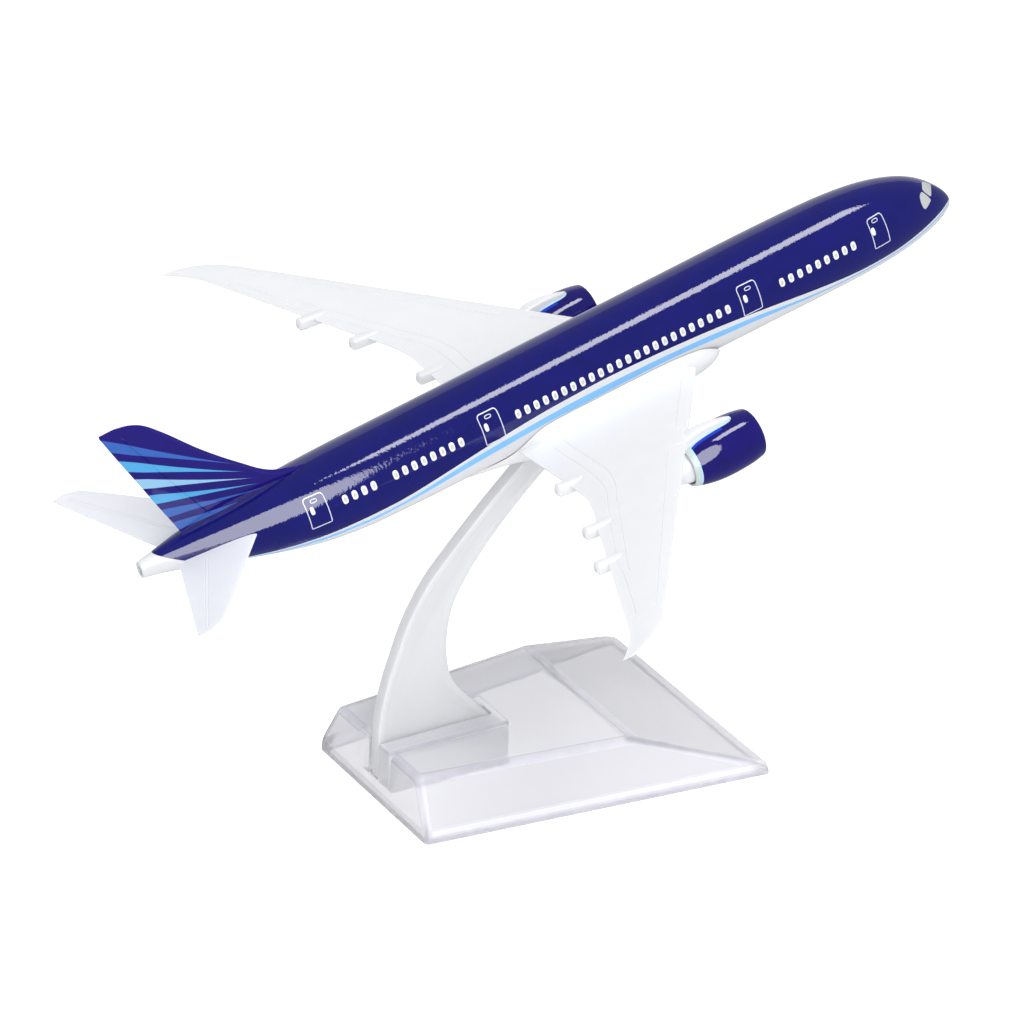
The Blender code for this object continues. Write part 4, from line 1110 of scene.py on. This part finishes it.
    # core: body with a nozzle step and a plug
    core = Skin()
    profile = [(-5.82, 1.2), (-5.82, 2.35), (-5.9, 2.48), (-6.5, 2.72), (-7.5, 2.98), (-9.2, 3.16), (-11.0, 3.22), (-12.2, 3.14), (-13.4, 2.96),
               (-14.2, 2.79), (-15.0, 2.60), (-15.25, 2.53), (-15.30, 2.44), (-15.42, 2.42), (-16.2, 2.22), (-16.74, 2.09), (-16.8, 2.02), (-16.78, 1.86), (-16.3, 1.80),
               (-16.0, 1.62), (-16.3, 1.46), (-17.0, 1.10), (-17.8, 0.66), (-18.25, 0.36), (-18.4, 0.14)]
    rings = [[(ENGINE_X + a, s * ENGINE_Y + r * math.sin(2 * math.pi * j / 48), ENGINE_Z + r * math.cos(2 * math.pi * j / 48)) for j in range(48)] for a, r in profile]
    core.loft(rings, 0, first=0, last=(ENGINE_X - 18.4, s * ENGINE_Y, ENGINE_Z))
    piece(name + "_core_skin", core, [CORE], BODY, "aircraft", "core_white_plastic", [name + "_engine_core"], sharp=40)

# ---------------------------------------------------------------- belly screws, with cross slots
for name, x in zip(("front", "rear"), SCREWS):
    head = smooth(FAIRING, x)[1] + 0.75 - 0.3
    screw = Skin()
    profile = [(head - 0.45, 0.9), (head - 0.44, 1.12), (head - 0.38, 1.26), (head - 0.28, 1.34), (head - 0.04, 1.35), (head, 1.30), (head, 0.62)]
    z, turn = head, 0
    while z < head + 3.5:
        profile += [(z + 0.12, 0.60), (z + 0.27, 0.74), (z + 0.33, 0.74)]
        z += 0.45
    profile += [(head + 3.9, 0.45), (head + 4.1, 0.0001)]
    screw.loft([[(x + r * math.cos(2 * math.pi * j / 40), r * math.sin(2 * math.pi * j / 40), zz) for j in range(40)] for zz, r in profile], 0, first=0, last=0)
    steps = []
    for w, l in ((0.16, 0.85), (0.85, 0.16)):
        steps.append(("BOOLEAN", cut(), box_skin((x - w, -l, head - 1.0), (x + w, l, head - 0.16)).mesh("slot")))
    mesh = applied(screw.mesh("screw"), steps)
    piece("belly_screw_" + name + "_skin", mesh, [STEEL], BODY, "aircraft", "screw_steel", ["belly_screw_" + name], sharp=35)

# ---------------------------------------------------------------- arm
cp, sp = math.cos(PITCH), math.sin(PITCH)


def on_belly(start, direction, level):
    x, z = start[0], start[1] - AIRCRAFT_Z
    height = -sp * x + cp * z
    rise = -sp * direction[0] + cp * direction[1]
    t = (level - height) / rise
    return (start[0] + t * direction[0], start[1] + t * direction[1])


way = (math.cos(TONGUE_LEAN), math.sin(TONGUE_LEAN))
outline = [ARM_REAR[0]] + spline(ARM_REAR[1:], 7)
outline += [on_belly(ARM_REAR[-1], way, -9.9), on_belly(ARM_FRONT[0], way, -9.9)]
outline += spline(ARM_FRONT[:-1], 7) + [ARM_FRONT[-1]]
area = sum(a[0] * b[1] - b[0] * a[1] for a, b in zip(outline, outline[1:] + outline[:1]))
if area < 0:
    outline.reverse()


def inset(points, d):
    """Points moved inwards by d, square to the outline (which runs anticlockwise)."""
    out, n = [], len(points)
    for i in range(n):
        a, b, c = Vector(points[i - 1]), Vector(points[i]), Vector(points[(i + 1) % n])
        e, f = (b - a).normalized(), (c - b).normalized()
        m = Vector((-(e.y + f.y), e.x + f.x))
        m.normalize()
        k = max(0.5, m.dot(Vector((-e.y, e.x))))
        out.append(tuple(b + m * d / k))
    return out


arm = Skin()
levels = [(0.0, 0.96), (0.03, 1.12), (0.11, 1.235), (0.22, 1.29), (0.34, 1.30), (1.00, 1.30), (1.10, 1.27), (1.22, 1.20), (1.34, 1.17)]
rows = []
for d, y in reversed(levels):
    rows.append([(p[0], -y, p[1]) for p in inset(outline, d)])
for d, y in levels:
    rows.append([(p[0], y, p[1]) for p in inset(outline, d)])
arm.loft(rows, 0, first=0, last=0)
arm_mesh = arm.mesh("arm")
arm_mesh.transform(STAND)
tongue = tongue_skin(1.5, TONGUE_DEPTH, TONGUE_HALF_WIDTH, TONGUE_HALF_THICK, 0.2).mesh("tongue")
tongue.transform(BODY)
mesh = applied(arm_mesh, [("BOOLEAN", joined(), tongue)])
piece("arm_blade", mesh, [MILKY], Matrix.Identity(4), "arm", "milky_plastic", ["stand_arm"], sharp=38)

# ---------------------------------------------------------------- base
(rear_x, rear_half), (front_x, front_half) = BASE_FOOT
(top_rear_x, top_rear_half, top_rear_z), (top_front_x, top_front_half, top_front_z) = BASE_TOP


def base_rings(inset_by, drop, foot_z, lip_z):
    low = [(rear_x + inset_by, -rear_half + inset_by), (front_x - inset_by, -front_half + inset_by),
           (front_x - inset_by, front_half - inset_by), (rear_x + inset_by, rear_half - inset_by)]
    top = [(top_rear_x + inset_by, -top_rear_half + inset_by, top_rear_z - drop),
           (top_front_x - inset_by * 0.5, -top_front_half + inset_by, top_front_z - drop),
           (top_front_x - inset_by * 0.5, top_front_half - inset_by, top_front_z - drop),
           (top_rear_x + inset_by, top_rear_half - inset_by, top_rear_z - drop)]
    return [[(x, y, foot_z) for x, y in low], [(x, y, lip_z) for x, y in low], top]


def weighted(mesh, test):
    mark = mesh.attributes.new("bevel_weight_edge", "FLOAT", "EDGE")
    for edge in mesh.edges:
        ends = [mesh.vertices[v].co / MM for v in edge.vertices]
        mark.data[edge.index].value = test(*ends)
    return mesh


def bevel(width, segments):
    return ("BEVEL", {"width": width * MM, "segments": segments, "limit_method": "WEIGHT", "profile": 0.6}, None)


def base_loft(rings):
    s = Skin()
    s.loft(rings, 0, first=0, last=0)
    return s.mesh("base")


outer = applied(weighted(base_loft(base_rings(0.0, 0.0, 0.0, BASE_LIP)),
                         lambda a, b: 1.0 if max(a.z, b.z) > 1e-3 else 0.0), [bevel(1.2, 6)])
hollow = applied(weighted(base_loft(base_rings(BASE_WALL, BASE_WALL, -3.0, BASE_LIP - 0.6)),
                          lambda a, b: 1.0 if max(a.z, b.z) > 0.1 else 0.0), [bevel(0.55, 4)])
block = applied(weighted(box_skin((SLOT_BLOCK[0], -SLOT_BLOCK[2], SLOT_BLOCK[3]), (SLOT_BLOCK[1], SLOT_BLOCK[2], SLOT_BLOCK[4])).mesh("block"),
                         lambda a, b: 1.0 if a.x > -20 or b.x > -20 else 0.6 if min(a.z, b.z) > 5 else 0.0), [bevel(0.6, 4)])
slot = box_skin((-37.0, -ARM_HALF - 0.3, SLOT_FLOOR), (SLOT_FRONT, ARM_HALF + 0.3, 16.0)).mesh("slot")
mesh = applied(outer, [("BOOLEAN", cut(), hollow), ("BOOLEAN", joined(), block), ("BOOLEAN", cut(), slot)])
FLAT = [Vector((0, 0, 1)), Vector((0, 0, -1)), Vector((1, 0, 0)), Vector((-1, 0, 0)), Vector((0, 1, 0)), Vector((0, -1, 0))]
ring = [Vector(p) for p in base_rings(0.0, 0.0, 0.0, BASE_LIP)[1]], [Vector(p) for p in base_rings(0.0, 0.0, 0.0, BASE_LIP)[2]]
for i in range(4):
    a, b, c = ring[0][i], ring[0][(i + 1) % 4], ring[1][i]
    n = (b - a).cross(c - a).normalized()
    FLAT += [n, -n]
a, b, c = ring[1][0], ring[1][1], ring[1][2]
FLAT += [(b - a).cross(c - a).normalized(), -(b - a).cross(c - a).normalized()]
for p in mesh.polygons:
    rounded_face = max(p.normal.dot(n) for n in FLAT) < 0.9985
    # Rounded edge faces take the lavender copy of the clear plastic: painted edge light.
    if rounded_face:
        # A low band on the sides takes the pale lip copy: a painted glint.
        p.material_index = 2 if 1.15 * MM < p.center.z < 2.25 * MM and p.center.x > -22 * MM and p.normal.z > 0.05 else 1
    # Faces on and near the slot block take the lighter block copy: painted light.
    elif abs(p.center.y) < 5.3 * MM and p.center.x < -9.5 * MM and p.center.z > 2.2 * MM:
        p.material_index = 3
    else:
        p.material_index = 0
piece("base_shell", mesh, [CLEAR, CLEAR_RIDGE_TINT, CLEAR_LIP_GLINT, LIFTED_CLEAR_BLOCK], STAND, "base", "clear_plastic", ["stand_base"], sharp=32)

# ---------------------------------------------------------------- floor, light, camera
floor_mesh = bpy.data.meshes.new("floor")
bm = bmesh.new()
bmesh.ops.create_grid(bm, x_segments=24, y_segments=24, size=3.0)
bm.to_mesh(floor_mesh)
bm.free()
floor = bpy.data.objects.new("floor", floor_mesh)
floor.location = (0, 0, -0.00002)
bpy.context.scene.collection.objects.link(floor)
floor_mat = bpy.data.materials.new("pale_floor")
floor_mat.use_nodes = True
inputs = sockets(floor_mat)
inputs["Roughness"].default_value = 0.9
inputs["Specular IOR Level"].default_value = 0.1
inputs["Emission Color"].default_value = (1.0, 1.0, 1.0, 1)
inputs["Emission Strength"].default_value = 0.98
grain = floor_mat.node_tree.nodes.new("ShaderNodeTexNoise")
grain.inputs["Scale"].default_value = 60.0
tone = floor_mat.node_tree.nodes.new("ShaderNodeValToRGB")
tone.color_ramp.elements[0].color, tone.color_ramp.elements[1].color = (0.215, 0.215, 0.215, 1), (0.225, 0.225, 0.225, 1)
floor_mat.node_tree.links.new(grain.outputs["Fac"], tone.inputs["Fac"])
floor_mat.node_tree.links.new(tone.outputs["Color"], inputs["Base Color"])
floor_mesh.materials.append(floor_mat)
floor.visible_glossy = False
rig.stage(floor)


def area_light(name, centre, across, up, width, height, radiance, colour=(1, 1, 1)):
    data = bpy.data.lights.new(name, "AREA")
    data.shape = "RECTANGLE"
    data.size, data.size_y = width * MM, height * MM
    data.energy = math.pi * width * height * MM * MM * radiance
    data.color = colour
    obj = bpy.data.objects.new(name, data)
    x = Vector(across).normalized()
    y = Vector(up).normalized()
    z = x.cross(y).normalized()
    y = z.cross(x)
    obj.matrix_world = Matrix.Translation(Vector(centre) * MM) @ Matrix((x, y, z)).transposed().to_4x4()
    bpy.context.scene.collection.objects.link(obj)
    return obj


turn = math.radians(38)
area_light("overhead_softbox", (160, -140, 770), (math.cos(turn), math.sin(turn), 0), (-math.sin(turn), math.cos(turn), 0), 350, 140, 12.0)
gloss = area_light("side_softbox", (-205, -865, 500), (0.978, -0.134, -0.159), (0.208, 0.632, 0.746), 610, 1100, 8.5 * math.pi / 4)
gloss.data.shape = "ELLIPSE"
gloss.visible_transmission = False
gloss.visible_diffuse = False
soft = area_light("side_fill", (-215, -865, 505), (1, 0, 0), (0.075, 0.644, 0.761), 600, 1195, 3.0)
soft.visible_glossy = False
fill = area_light("fill_light", (0, 0, 1300), (1, 0, 0), (0, 1, 0), 1300, 1300, 1.35)
fill.visible_glossy = False
wall = area_light("back_wall", (200, 900, 150), (-1, 0, 0), (0, -0.37, 0.93), 1900, 1000, 0.40)
wall.visible_diffuse = False
rear = area_light("rear_fill", (-1000, -300, 430), (0.287, -0.958, 0), (0.38, 0.11, 0.918), 900, 700, 0.7)
rear.visible_glossy = False

world = bpy.data.worlds.new("studio")
bpy.context.scene.world = world
world.use_nodes = True
world.node_tree.nodes["Background"].inputs["Color"].default_value = (0.94, 0.96, 1.0, 1)
world.node_tree.nodes["Background"].inputs["Strength"].default_value = 0.36

azimuth, elevation, roll = math.radians(-31.494), math.radians(28.288), math.radians(1.664)
back = Vector((math.sin(azimuth) * math.cos(elevation), -math.cos(azimuth) * math.cos(elevation), math.sin(elevation)))
right = (-back).cross(Vector((0, 0, 1))).normalized()
up = right.cross(-back)
cx = math.cos(roll) * right + math.sin(roll) * up
cy = -math.sin(roll) * right + math.cos(roll) * up
camera_data = bpy.data.cameras.new("camera")
camera_data.lens, camera_data.sensor_width = 217.25, 36.0
camera_data.clip_start, camera_data.clip_end = 0.01, 20.0
camera = bpy.data.objects.new("camera", camera_data)
camera.matrix_world = Matrix.Translation(Vector((-3.915, 0, 47.412)) * MM + back * 1.02228) @ Matrix((cx, cy, back)).transposed().to_4x4()
bpy.context.scene.collection.objects.link(camera)
bpy.context.scene.camera = camera
bpy.context.scene.view_settings.view_transform = "Standard"

with open("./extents.json", "w") as out:
    json.dump({"cad": CAD_BOX, "visual": [[float(c) for c in corner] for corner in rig.bounds()]}, out)
